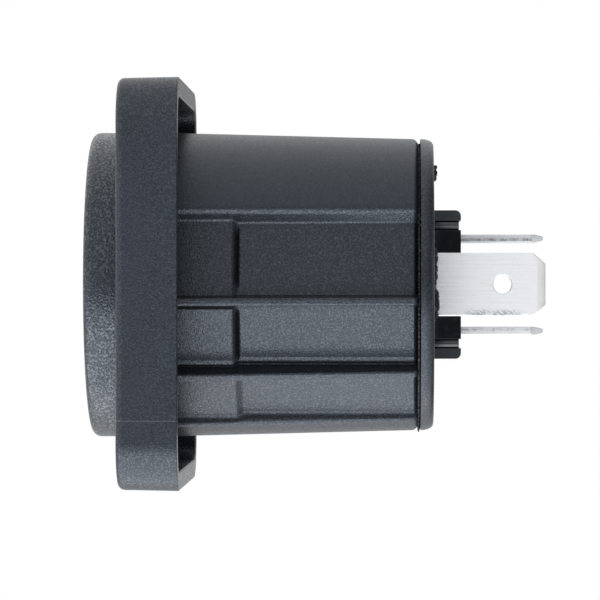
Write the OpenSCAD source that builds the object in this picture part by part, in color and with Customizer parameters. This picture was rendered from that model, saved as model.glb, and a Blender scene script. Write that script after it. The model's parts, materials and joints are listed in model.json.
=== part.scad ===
// Flanged power inlet for panel mounting.
// The origin is on the barrel axis in the plane where the flange meets its panel.
// X runs along the barrel towards the tabs, Z is up, and the ground side faces minus Y.

/* [Flange] */
// Side of the square flange at the panel plane
flange_w = 40.5; // [39.5:0.5:46]
// Thickness of the flange
flange_t = 6; // [5.4:0.1:7]
// Corner radius of the flange
flange_corner_r = 4.8; // [4:0.1:7]
// Thickness of the flange's front wall
flange_front_t = 2; // [1.6:0.1:2.6]
// Thickness of the flange's outer wall
flange_wall = 1.85; // [1.4:0.05:2.2]
// Rounding of the flange's front edge
flange_edge_r = 0.7; // [0.4:0.05:1]
// Draft of the outer wall over the whole thickness
flange_draft = 0.1; // [0.04:0.02:0.2]
// Distance between neighbouring screw holes
hole_pitch = 30; // [29:0.1:31]
// Diameter of the screw holes
hole_d = 3.8; // [3.2:0.1:4.4]
// Diameter of the boss behind each screw hole
boss_d = 7.2; // [6.8:0.1:7.6]
// How far each boss stops short of the panel plane
boss_short = 2.2; // [1:0.1:2.8]

/* [Nose ring] */
// How far the nose's side stands out past the barrel's at the panel plane
nose_over = 0.05; // [-0.3:0.05:0.6]
// How far the nose stands out in front of the flange
nose_h = 3.53; // [2.8:0.05:5]
// Rounding of the nose's front edge
nose_edge_r = 0.9; // [0.5:0.05:1.2]
// Thickness of the lip in front of the barrel's spigot
nose_lip_t = 1; // [0.7:0.05:1.5]
// Width of the chamfer around the mouth
mouth_chamfer = 0.5; // [0.2:0.05:0.7]

/* [Barrel] */
// Diameter of the barrel at the panel plane
barrel_d = 30.7; // [30.2:0.1:31.4]
// Diameter of the barrel at its rear end
barrel_rear_d = 29.5; // [29:0.1:30]
// Length of the barrel behind the panel plane
barrel_len = 23.4; // [22.4:0.1:26]
// Chamfer around the barrel's rear end
barrel_chamfer = 0.35; // [0.2:0.05:0.5]
// Step from the barrel's side down to the spigot that passes through the flange
spigot_step = 1.25; // [1.1:0.05:1.6]
// Inside diameter of the barrel
cup_d = 23.4; // [23.2:0.05:23.8]
// Distance of the inner ledge's rear face behind the panel plane
ledge_x = 9.6; // [8.8:0.1:10.2]
// Thickness of the inner ledge
ledge_t = 1; // [0.7:0.1:1.6]
// How far the inner ledge stands in from the barrel's inside
ledge_h = 0.7; // [0.5:0.05:0.8]

/* [Sunk panels] */
// Angle of the panels' upper edge above the middle of the side
panel_top_angle = 28.8; // [26:0.2:32]
// Angle of the panels' lower edge below the middle of the side
panel_bottom_angle = 66.8; // [64:0.2:70]
// Angle of the upper rib below the middle of the side
upper_rib_angle = 6.8; // [4:0.2:10]
// Angle of the lower rib below the middle of the side
lower_rib_angle = 37.8; // [35:0.2:40]
// Width of the ribs as an angle
rib_angle = 3.4; // [2.6:0.1:4.4]
// Thickness of the barrel behind the corners of the panels' floors
floor_wall = 1.6; // [1.4:0.05:1.9]
// How far the front pads stand above the floors
pad_rise = 0.45; // [0.2:0.05:0.6]
// Distance of the cross groove behind the panel plane
groove_x = 5.1; // [4.4:0.1:6]
// Width of the cross groove
groove_w = 0.75; // [0.5:0.05:1]
// Depth of the cross groove below the floors
groove_depth = 0.4; // [0.2:0.05:0.5]

/* [Cap and seal] */
// Width of the seam between barrel and cap
seam_w = 0.23; // [0.15:0.01:0.35]
// Thickness of the rear cap
cap_t = 1.33; // [1.1:0.05:1.8]
// Rounding of the cap's rear edge
cap_edge_r = 0.65; // [0.4:0.05:0.9]
// Width of the bead in the seam, up to the chamfer
bead_w = 1.9; // [1.2:0.1:2.2]
// Thickness of the sealant around the ground tab
sealant_t = 0.5; // [0.3:0.05:0.8]

/* [Prongs] */
// Distance between the blades' middles
blade_pitch = 12.7; // [12.5:0.05:12.9]
// Width of the blades
blade_w = 6.35; // [6.2:0.05:6.5]
// Thickness of the blades
blade_t = 1.5; // [1.4:0.05:1.6]
// Distance of the blades' middles from the axis on the far side
blade_y = 4.1; // [3.9:0.05:4.2]
// Distance of the blades' tips in front of the panel plane
blade_reach = 5.5; // [4:0.1:6.5]
// Distance between the blades and the ground pin
ground_offset = 11.9; // [11.8:0.05:12]
// Diameter of the ground pin
pin_d = 4.8; // [4.6:0.05:4.9]
// Distance of the ground pin's tip in front of the panel plane
pin_reach = 7.5; // [6:0.1:8]

/* [Tabs] */
// Width of the quick-connect tabs
tab_w = 6.3; // [6.2:0.05:6.4]
// Thickness of the quick-connect tabs
tab_t = 0.8; // [0.75:0.01:0.85]
// Distance between the line and neutral tabs' middles
tab_pitch = 9.4; // [9.2:0.05:9.6]
// Distance of the tabs' tips behind the panel plane
tab_tip_x = 36.14; // [35:0.1:40]
// Length of the chamfers at the tabs' tips
tab_chamfer_l = 1.25; // [0.8:0.05:1.6]
// Width of the chamfers at the tabs' tips
tab_chamfer_w = 1.1; // [0.8:0.05:1.5]
// Length of the thinned edge at the tabs' tips
tab_bevel = 0.8; // [0.4:0.05:1]
// Diameter of the latch hole in the tabs
tab_hole_d = 1.85; // [1.6:0.05:2]
// Distance of the latch hole from the tip
tab_hole_back = 4.3; // [4:0.05:4.8]
// Distance of the ground tab's middle from the axis on the near side
ground_tab_y = 5; // [4.95:0.01:5.05]

/* [Block] */
// Thickness of the insert that carries the prongs
insert_t = 5; // [4.5:0.1:5.4]
// How far the barriers stand out behind the cap
barrier_h = 2.78; // [2:0.05:4]
// Distance of each tab's block from the axis, inner face
block_z0 = 3.2; // [2.9:0.05:3.4]
// Distance of each tab's block from the axis, outer face
block_z1 = 5.5; // [5.4:0.05:5.7]
// Distance of each outer barrier from the axis, inner face
barrier_z0 = 6.45; // [6.2:0.05:6.6]
// Distance of each outer barrier from the axis, outer face
barrier_z1 = 7.5; // [7.3:0.05:7.6]
// Length of the barriers on the near side of the axis
barrier_y0 = 2; // [1.6:0.1:2.4]
// Length of the barriers on the far side of the axis
barrier_y1 = 8.7; // [8.4:0.05:8.8]
// How far the web between each barrier and its block lies behind their near faces
web_inset = 0.6; // [0.3:0.05:1]
// How far each web ends short of its barrier's end
web_short = 0.2; // [0.1:0.05:0.5]
// Rounding of each outer barrier's end
barrier_edge_r = 0.57; // [0.3:0.01:0.8]

/* [Hidden] */
$fn = 96;
fit_gap = 0.05;
slot_gap = 0.1;
past = 1;

// Colours of the moulded pieces and the metals
moulding = [0.22, 0.23, 0.25];
gloss_black = [0.07, 0.07, 0.08];
sealant_black = [0.05, 0.05, 0.05];
tinned = [0.82, 0.82, 0.8];
brass_tone = [0.76, 0.64, 0.36];
gasket_grey = [0.16, 0.16, 0.16];

// Places along the barrel axis
wall_x = flange_front_t - flange_t;
nose_front_x = -flange_t - nose_h;
spigot_front_x = nose_front_x + nose_lip_t;
gasket_t = 0.8;
insert_x = ledge_x + gasket_t;
block_x = insert_x + insert_t;
cap_x = barrel_len + seam_w;
cap_rear_x = cap_x + cap_t;
barrier_x = cap_rear_x + barrier_h;
panel_start_x = -1.5;

// Radii
cup_r = cup_d / 2;
spigot_r = barrel_d / 2 - spigot_step;
cap_r = barrel_rear_d / 2;
chamfer_r = cap_r - barrel_chamfer;
ledge_r = cup_r - ledge_h;
panel_r = cup_r + floor_wall;
boss_disc_r = ledge_r;
bead_in_r = chamfer_r - bead_w;

// Sunk panels: start and end angle at the cap's radius, lean of both walls in degrees per
// millimetre of depth, and rise of both floor corners
half_rib = rib_angle / 2;
step_lean = 1.52;
rib_lean = 0.28;
low_rib_lean = 0.69;
low_rise = 0.7;
panels = [
    [-panel_top_angle, upper_rib_angle - half_rib, step_lean, rib_lean, 0, 0],
    [upper_rib_angle + half_rib, lower_rib_angle - half_rib, rib_lean, low_rib_lean, 0, 0],
    [lower_rib_angle + half_rib, panel_bottom_angle, rib_lean, rib_lean, 0, low_rise]
];
cut_r = barrel_r(wall_x) + 2 * past;

// Prongs and their tails
shoulder_w = 8;
shoulder_l = 2;
tail_l = 5.4;
foot_start = 0.6;
foot_l = 4;
joggle_l = 1;
blade_in_z = blade_pitch / 2 - blade_t / 2;
blade_out_z = blade_pitch / 2 + blade_t / 2;
blade_tip_chamfer = 0.5;
rivet_d = 2;
rivet_head_d = 3.4;
rivet_head_t = 0.5;
rivet_x = block_x + foot_start + foot_l / 2;
pin_y = blade_y - ground_offset;
pin_collar_d = 6.2;
pin_spigot_d = 2.6;
swage_d = 3.8;
swage_t = 0.8;
washer_d = 4.4;
washer_t = 0.5;
ground_foot_y = -10.1;
ground_pocket_l = 3.6;
tab_inset = 0.2;
sealant_w = 1.4;
sealant_lump = 0.18;
pocket_room = 0.3;

// Point on a circle of radius r, at an angle below the middle of the near side
function polar(r, angle) = [r * sin(angle), -r * cos(angle)];

// Radius of the tapered barrel at a place along the axis
function barrel_r(x) = barrel_d / 2 - (barrel_d - barrel_rear_d) / 2 * x / (barrel_len - barrel_chamfer);

// Turns a shape made along Z so that it lies along the barrel axis
module along_x() {
    rotate([0, 90, 0])
        children();
}

// Stands a drawing of X against Z up and gives it a width along Y
module across_y(y0, y1) {
    translate([0, y1, 0])
        rotate([90, 0, 0])
            linear_extrude(y1 - y0)
                children();
}

// Box between two corners
module span(p, q) {
    translate(p)
        cube(q - p);
}

// Cross section of the flange's front wall and outer wall, from a corner's centre outwards
module flange_section() {
    front_r = flange_corner_r - flange_draft;
    inner_r = flange_corner_r - flange_wall;
    polygon([
        [0, 0],
        [front_r - flange_edge_r, 0],
        [front_r, flange_edge_r],
        [flange_corner_r, flange_t],
        [inner_r, flange_t],
        [inner_r, flange_front_t],
        [0, flange_front_t]
    ]);
    translate([front_r - flange_edge_r, flange_edge_r])
        circle(r = flange_edge_r);
}

// Repeats a shape at the four screw holes
module at_holes() {
    for (sx = [-1, 1], sy = [-1, 1])
        translate([sx * hole_pitch / 2, sy * hole_pitch / 2, 0])
            children();
}

module mounting_flange() {
    reach = flange_w / 2 - flange_corner_r;
    color(moulding)
        along_x()
            translate([0, 0, -flange_t])
                difference() {
                    union() {
                        for (turn = [0 : 90 : 270])
                            rotate([0, 0, turn]) {
                                translate([reach, 0, 0])
                                    rotate([90, 0, 0])
                                        linear_extrude(2 * reach, center = true)
                                            flange_section();
                                translate([reach, reach, 0])
                                    rotate_extrude(angle = 90)
                                        flange_section();
                            }
                        span([-reach, -reach, 0], [reach, reach, flange_front_t]);
                        at_holes()
                            translate([0, 0, flange_front_t / 2])
                                cylinder(d = boss_d, h = flange_t - boss_short - flange_front_t / 2);
                    }
                    translate([0, 0, -past])
                        cylinder(r = spigot_r + fit_gap, h = flange_t + 2 * past);
                    at_holes()
                        translate([0, 0, -past])
                            cylinder(d = hole_d, h = flange_t + 2 * past);
                }
}

module nose_ring() {
    r = barrel_d / 2 + nose_over;
    h = nose_h;
    color(moulding)
        along_x()
            translate([0, 0, nose_front_x])
                rotate_extrude() {
                    polygon([
                        [cup_r + mouth_chamfer, 0],
                        [r - nose_edge_r, 0],
                        [r, nose_edge_r],
                        [r, h],
                        [spigot_r + fit_gap, h],
                        [spigot_r + fit_gap, nose_lip_t],
                        [cup_r, nose_lip_t],
                        [cup_r, mouth_chamfer]
                    ]);
                    intersection() {
                        translate([r - nose_edge_r, nose_edge_r])
                            circle(r = nose_edge_r);
                        translate([r - nose_edge_r, 0])
                            square(nose_edge_r);
                    }
                }
}

// Points of a panel's two walls at a radius
function start_wall(panel, r) = polar(r, panel[0] + panel[2] * (cap_r - r));
function end_wall(panel, r) = polar(r, panel[1] - panel[3] * (cap_r - r));

// One sunk panel with its floor raised or lowered, between two places along the axis
module sunk_panel(panel, rise, x0, x1) {
    translate([0, 0, x0])
        linear_extrude(x1 - x0)
            polygon([
                start_wall(panel, panel_r + panel[4] + rise),
                end_wall(panel, panel_r + panel[5] + rise),
                end_wall(panel, cut_r),
                start_wall(panel, cut_r)
            ]);
}

module inlet_barrel() {
    color(moulding)
        along_x()
            difference() {
                union() {
                    translate([0, 0, wall_x])
                        cylinder(
                            r1 = barrel_r(wall_x),
                            r2 = cap_r,
                            h = barrel_len - barrel_chamfer - wall_x
                        );
                    translate([0, 0, barrel_len - barrel_chamfer])
                        cylinder(r1 = cap_r, r2 = chamfer_r, h = barrel_chamfer);
                    translate([0, 0, spigot_front_x])
                        cylinder(r = spigot_r, h = barrel_len / 2 - spigot_front_x);
                }
                for (side = [0, 1], panel = panels)
                    mirror([0, side, 0]) {
                        sunk_panel(panel, pad_rise, panel_start_x, groove_x + groove_w / 2);
                        sunk_panel(panel, -groove_depth, groove_x, groove_x + groove_w);
                        sunk_panel(panel, 0, groove_x + groove_w / 2, barrel_len + past);
                    }
                translate([0, 0, spigot_front_x - past])
                    cylinder(r = cup_r, h = ledge_x - ledge_t - spigot_front_x + past);
                translate([0, 0, spigot_front_x])
                    cylinder(r = ledge_r, h = barrel_len - spigot_front_x);
                translate([0, 0, ledge_x])
                    cylinder(r = cup_r, h = barrel_len);
            }
}

module insert_gasket() {
    color(gasket_grey)
        along_x()
            translate([0, 0, ledge_x])
                difference() {
                    cylinder(r = cup_r - fit_gap, h = gasket_t);
                    translate([0, 0, -past])
                        cylinder(r = ledge_r, h = gasket_t + 2 * past);
                }
}

// Cuts for both blades and the ground pin, each with room around it
module prong_cuts() {
    for (side = [-1, 1]) {
        z = side * blade_pitch / 2;
        span(
            [insert_x - past, blade_y - blade_w / 2 - fit_gap, z - blade_t / 2 - fit_gap],
            [block_x + past, blade_y + blade_w / 2 + fit_gap, z + blade_t / 2 + fit_gap]
        );
        span(
            [block_x - shoulder_l, blade_y - shoulder_w / 2 - fit_gap, z - blade_t / 2 - fit_gap],
            [block_x + past, blade_y + shoulder_w / 2 + fit_gap, z + blade_t / 2 + fit_gap]
        );
    }
    translate([insert_x - past, pin_y, 0])
        along_x()
            cylinder(d = pin_d + 2 * fit_gap, h = insert_t + 2 * past);
    translate([block_x - shoulder_l, pin_y, 0])
        along_x()
            cylinder(d = pin_collar_d + 2 * fit_gap, h = shoulder_l + past);
}

module blade_insert() {
    color(gloss_black)
        difference() {
            translate([insert_x, 0, 0])
                along_x()
                    cylinder(r = cup_r - fit_gap, h = insert_t);
            prong_cuts();
        }
}

// Flat blade with a chamfered tip, a shoulder and a pierced tail, on the upper side
module blade() {
    tip = -blade_reach;
    half_w = blade_w / 2;
    half_t = blade_t / 2;
    difference() {
        union() {
            intersection() {
                translate([0, 0, blade_in_z])
                    linear_extrude(blade_t)
                        polygon([
                            [tip, blade_y - half_w + blade_tip_chamfer],
                            [tip + blade_tip_chamfer, blade_y - half_w],
                            [block_x + tail_l, blade_y - half_w],
                            [block_x + tail_l, blade_y + half_w],
                            [tip + blade_tip_chamfer, blade_y + half_w],
                            [tip, blade_y + half_w - blade_tip_chamfer]
                        ]);
                across_y(blade_y - half_w - past, blade_y + half_w + past)
                    polygon([
                        [tip, blade_in_z + half_t / 2],
                        [tip + 2 * blade_tip_chamfer, blade_in_z],
                        [block_x + tail_l, blade_in_z],
                        [block_x + tail_l, blade_out_z],
                        [tip + 2 * blade_tip_chamfer, blade_out_z],
                        [tip, blade_out_z - half_t / 2]
                    ]);
            }
            span(
                [block_x - shoulder_l, blade_y - shoulder_w / 2, blade_in_z],
                [block_x, blade_y + shoulder_w / 2, blade_out_z]
            );
        }
        translate([rivet_x, blade_y, 0])
            cylinder(d = rivet_d + fit_gap, h = blade_pitch);
    }
}

module line_blade() {
    color(brass_tone)
        blade();
}

module neutral_blade() {
    color(brass_tone)
        mirror([0, 0, 1])
            blade();
}

module ground_pin() {
    tip_r = pin_d / 2;
    shank_l = block_x - shoulder_l + pin_reach - tip_r;
    swage_x = tab_t + washer_t;
    color(brass_tone)
        translate([0, pin_y, 0])
            along_x() {
                translate([0, 0, tip_r - pin_reach])
                    sphere(r = tip_r);
                translate([0, 0, tip_r - pin_reach])
                    cylinder(r = tip_r, h = shank_l + shoulder_l);
                translate([0, 0, block_x - shoulder_l])
                    cylinder(d = pin_collar_d, h = shoulder_l);
                translate([0, 0, block_x - shoulder_l / 2])
                    cylinder(d = pin_spigot_d, h = shoulder_l / 2 + swage_x + swage_t);
                translate([0, 0, block_x + swage_x])
                    cylinder(d = swage_d, h = swage_t);
            }
}

// Outline of a quick-connect tab from x0 to its tip, with tip chamfers and latch hole
module tab_outline(x0) {
    half_w = tab_w / 2;
    difference() {
        polygon([
            [x0, -half_w],
            [tab_tip_x - tab_chamfer_l, -half_w],
            [tab_tip_x, tab_chamfer_w - half_w],
            [tab_tip_x, half_w - tab_chamfer_w],
            [tab_tip_x - tab_chamfer_l, half_w],
            [x0, half_w]
        ]);
        translate([tab_tip_x - tab_hole_back, 0])
            circle(d = tab_hole_d);
    }
}

// Offset tab on the upper side: its foot lies on the blade's tail
module offset_tab() {
    foot_x = block_x + foot_start;
    bend_x = foot_x + foot_l;
    flat_x = bend_x + joggle_l;
    z0 = tab_pitch / 2 - tab_t / 2;
    z1 = tab_pitch / 2 + tab_t / 2;
    difference() {
        intersection() {
            translate([0, blade_y, 0])
                linear_extrude(blade_pitch)
                    tab_outline(foot_x);
            across_y(blade_y - tab_w, blade_y + tab_w)
                polygon([
                    [foot_x, blade_in_z - tab_t],
                    [bend_x, blade_in_z - tab_t],
                    [flat_x, z0],
                    [tab_tip_x - tab_bevel, z0],
                    [tab_tip_x, z0 + tab_t / 4],
                    [tab_tip_x, z1 - tab_t / 4],
                    [tab_tip_x - tab_bevel, z1],
                    [flat_x, z1],
                    [bend_x, blade_in_z],
                    [foot_x, blade_in_z]
                ]);
        }
        translate([rivet_x, blade_y, 0])
            cylinder(d = rivet_d + fit_gap, h = blade_pitch);
    }
}

module line_tab() {
    color(tinned)
        offset_tab();
}

module neutral_tab() {
    color(tinned)
        mirror([0, 0, 1])
            offset_tab();
}

module ground_tab() {
    y0 = -ground_tab_y - tab_t / 2;
    y1 = -ground_tab_y + tab_t / 2;
    color(tinned)
        difference() {
            union() {
                intersection() {
                    across_y(y0, y1)
                        tab_outline(block_x);
                    translate([0, 0, -tab_w])
                        linear_extrude(2 * tab_w)
                            polygon([
                                [block_x, y0],
                                [tab_tip_x - tab_bevel, y0],
                                [tab_tip_x, y0 + tab_t / 4],
                                [tab_tip_x, y1 - tab_t / 4],
                                [tab_tip_x - tab_bevel, y1],
                                [block_x, y1]
                            ]);
                }
                span([block_x, ground_foot_y, -tab_w / 2], [block_x + tab_t, y1, tab_w / 2]);
            }
            translate([block_x - past, pin_y, 0])
                along_x()
                    cylinder(d = pin_spigot_d + fit_gap, h = tab_t + 2 * past);
        }
}

// Rivet on the upper side through the blade's tail and the tab's foot
module tail_rivet() {
    bottom_z = blade_in_z - tab_t;
    translate([rivet_x, blade_y, 0]) {
        translate([0, 0, bottom_z - rivet_head_t])
            cylinder(d = rivet_head_d, h = rivet_head_t);
        translate([0, 0, bottom_z - rivet_head_t / 2])
            cylinder(d = rivet_d, h = blade_out_z - bottom_z + rivet_head_t);
        translate([0, 0, blade_out_z])
            cylinder(d = rivet_head_d, h = rivet_head_t);
    }
}

module line_rivet() {
    color(brass_tone)
        tail_rivet();
}

module neutral_rivet() {
    color(brass_tone)
        mirror([0, 0, 1])
            tail_rivet();
}

module ground_washer() {
    color(tinned)
        translate([block_x + tab_t, pin_y, 0])
            along_x()
                difference() {
                    cylinder(d = washer_d, h = washer_t);
                    translate([0, 0, -past])
                        cylinder(d = pin_spigot_d + slot_gap, h = washer_t + 2 * past);
                }
}

// Barrier on the upper side: a block around the tab, an outer slab and the web between them
module barrier() {
    root_x = block_x + past;
    round_x = barrier_x - barrier_edge_r;
    round_z = barrier_z1 - barrier_edge_r;
    span([root_x, -barrier_y0, block_z0], [barrier_x, barrier_y1, block_z1]);
    across_y(-barrier_y0, barrier_y1) {
        polygon([
            [root_x, barrier_z0],
            [barrier_x, barrier_z0],
            [barrier_x, round_z],
            [round_x, barrier_z1],
            [root_x, barrier_z1]
        ]);
        intersection() {
            translate([round_x, round_z])
                circle(r = barrier_edge_r);
            translate([round_x, round_z])
                square(barrier_edge_r);
        }
    }
    span([root_x, web_inset - barrier_y0, block_z1], [barrier_x - web_short, barrier_y1, barrier_z0]);
}

// Pocket on the upper side for a blade's tail, its rivet and the tab's foot, with the tab's slot
module tail_pocket() {
    half_w = tab_w / 2 + slot_gap;
    low_z = blade_in_z - tab_t - rivet_head_t - slot_gap;
    high_z = blade_out_z + rivet_head_t + slot_gap;
    span(
        [block_x - past, blade_y - half_w, low_z],
        [block_x + foot_start + foot_l + joggle_l + pocket_room, blade_y + half_w, high_z]
    );
    span(
        [block_x, blade_y - tab_w / 2 - fit_gap, tab_pitch / 2 - tab_t / 2 - fit_gap],
        [barrier_x + past, blade_y + tab_w / 2 + fit_gap, tab_pitch / 2 + tab_t / 2 + fit_gap]
    );
}

module terminal_block() {
    half_w = tab_w / 2 + slot_gap;
    color(gloss_black)
        difference() {
            union() {
                translate([block_x, 0, 0])
                    along_x()
                        cylinder(r = cup_r - fit_gap, h = barrel_len - block_x);
                barrier();
                mirror([0, 0, 1])
                    barrier();
            }
            tail_pocket();
            mirror([0, 0, 1])
                tail_pocket();
            span(
                [block_x - past, ground_foot_y - slot_gap, -half_w],
                [block_x + ground_pocket_l, -ground_tab_y + tab_t / 2 + fit_gap, half_w]
            );
            span(
                [block_x, -ground_tab_y - tab_t / 2 - fit_gap, -tab_w / 2 - fit_gap],
                [barrel_len + past, -ground_tab_y + tab_t / 2 + fit_gap, tab_w / 2 + fit_gap]
            );
        }
}

module rear_cap() {
    color(moulding)
        difference() {
            along_x() {
                translate([0, 0, cap_x])
                    rotate_extrude() {
                        polygon([
                            [0, 0],
                            [cap_r, 0],
                            [cap_r, cap_t - cap_edge_r],
                            [cap_r - cap_edge_r, cap_t],
                            [0, cap_t]
                        ]);
                        intersection() {
                            translate([cap_r - cap_edge_r, cap_t - cap_edge_r])
                                circle(r = cap_edge_r);
                            square([cap_r, cap_t]);
                        }
                    }
                translate([0, 0, barrel_len])
                    cylinder(r = boss_disc_r, h = seam_w + cap_t / 2);
            }
            for (side = [0, 1])
                mirror([0, 0, side])
                    span(
                        [barrel_len - past, -barrier_y0 - slot_gap, block_z0 - slot_gap],
                        [cap_rear_x + past, barrier_y1 + slot_gap, barrier_z1 + slot_gap]
                    );
            span(
                [barrel_len - past, -ground_tab_y - tab_t / 2 - slot_gap, -tab_w / 2 - slot_gap],
                [cap_rear_x + past, -ground_tab_y + tab_t / 2 + slot_gap, tab_w / 2 + slot_gap]
            );
        }
}

module cap_seal_bead() {
    ride = barrel_chamfer / 2;
    color(sealant_black)
        along_x()
            translate([0, 0, barrel_len])
                rotate_extrude()
                    polygon([
                        [bead_in_r, 0],
                        [chamfer_r, 0],
                        [chamfer_r + ride, -ride],
                        [cap_r - ride / 2, seam_w / 2],
                        [cap_r - ride / 2, seam_w],
                        [bead_in_r, seam_w]
                    ]);
}

module ground_tab_sealant() {
    y0 = -ground_tab_y - tab_t / 2;
    y1 = -ground_tab_y + tab_t / 2;
    half_w = tab_w / 2;
    color(sealant_black)
        difference() {
            union() {
                span(
                    [cap_rear_x, y0 - sealant_w, -half_w - tab_inset],
                    [cap_rear_x + sealant_t, y1 + sealant_w, half_w + tab_inset]
                );
                translate([cap_rear_x, y0 - sealant_w / 2, -half_w / 2])
                    along_x()
                        cylinder(d = sealant_w, h = sealant_t + sealant_lump);
            }
            span(
                [cap_rear_x - past, y0 - fit_gap, -half_w - fit_gap],
                [cap_rear_x + 2 * past, y1 + fit_gap, half_w + fit_gap]
            );
        }
}

mounting_flange();
nose_ring();
inlet_barrel();
insert_gasket();
blade_insert();
line_blade();
neutral_blade();
ground_pin();
line_tab();
neutral_tab();
ground_tab();
line_rivet();
neutral_rivet();
ground_washer();
terminal_block();
rear_cap();
cap_seal_bead();
ground_tab_sealant();
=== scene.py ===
"""A flanged power inlet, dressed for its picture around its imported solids."""

import json
import logging
import math
from collections.abc import Callable, Iterable, Sequence
from dataclasses import dataclass, replace
from enum import Enum
from typing import NamedTuple

import bpy
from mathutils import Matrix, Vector, noise

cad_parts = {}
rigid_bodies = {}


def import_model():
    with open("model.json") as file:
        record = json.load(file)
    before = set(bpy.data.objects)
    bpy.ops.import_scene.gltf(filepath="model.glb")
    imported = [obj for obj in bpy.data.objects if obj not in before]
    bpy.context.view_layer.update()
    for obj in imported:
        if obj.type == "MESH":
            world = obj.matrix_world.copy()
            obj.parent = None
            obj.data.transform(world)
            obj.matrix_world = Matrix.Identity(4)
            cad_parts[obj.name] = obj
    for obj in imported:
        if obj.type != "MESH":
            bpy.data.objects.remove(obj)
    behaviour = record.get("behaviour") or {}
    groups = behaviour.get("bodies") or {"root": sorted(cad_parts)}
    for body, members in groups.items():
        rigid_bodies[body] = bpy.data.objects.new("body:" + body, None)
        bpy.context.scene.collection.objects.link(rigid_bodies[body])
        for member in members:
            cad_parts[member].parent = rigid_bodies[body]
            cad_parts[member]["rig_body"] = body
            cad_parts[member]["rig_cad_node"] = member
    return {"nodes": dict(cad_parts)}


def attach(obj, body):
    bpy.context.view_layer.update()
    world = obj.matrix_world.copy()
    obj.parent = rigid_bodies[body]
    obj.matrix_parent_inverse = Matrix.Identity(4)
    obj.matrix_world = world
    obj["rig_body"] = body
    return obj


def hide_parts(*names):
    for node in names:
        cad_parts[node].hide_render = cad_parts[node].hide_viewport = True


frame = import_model()

LOG = logging.getLogger("inlet")
MM = 0.001
BODY = "root"

Place = tuple[float, float, float]
Flat = tuple[float, float]
Colour = tuple[float, float, float]
Ink = tuple[float, float, float, float]
Piece = bpy.types.Object
Node = bpy.types.Node
Socket = bpy.types.NodeSocket

FALL = (1.0, 0.0)


class Slot(Enum):
    """Names of the finishes in the part's record."""

    FINE = "fine_moulding"
    COARSE = "coarse_moulding"
    GRAINED = "grained_moulding"
    GLOSS = "gloss_moulding"
    TINNED = "tinned_brass"
    BRASS = "bare_brass"
    SEALANT = "sealant"
    GASKET = "gasket_rubber"


class Cut(Enum):
    """What a second shape does to the first."""

    AWAY = "DIFFERENCE"
    JOIN = "UNION"


# Workbench


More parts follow.
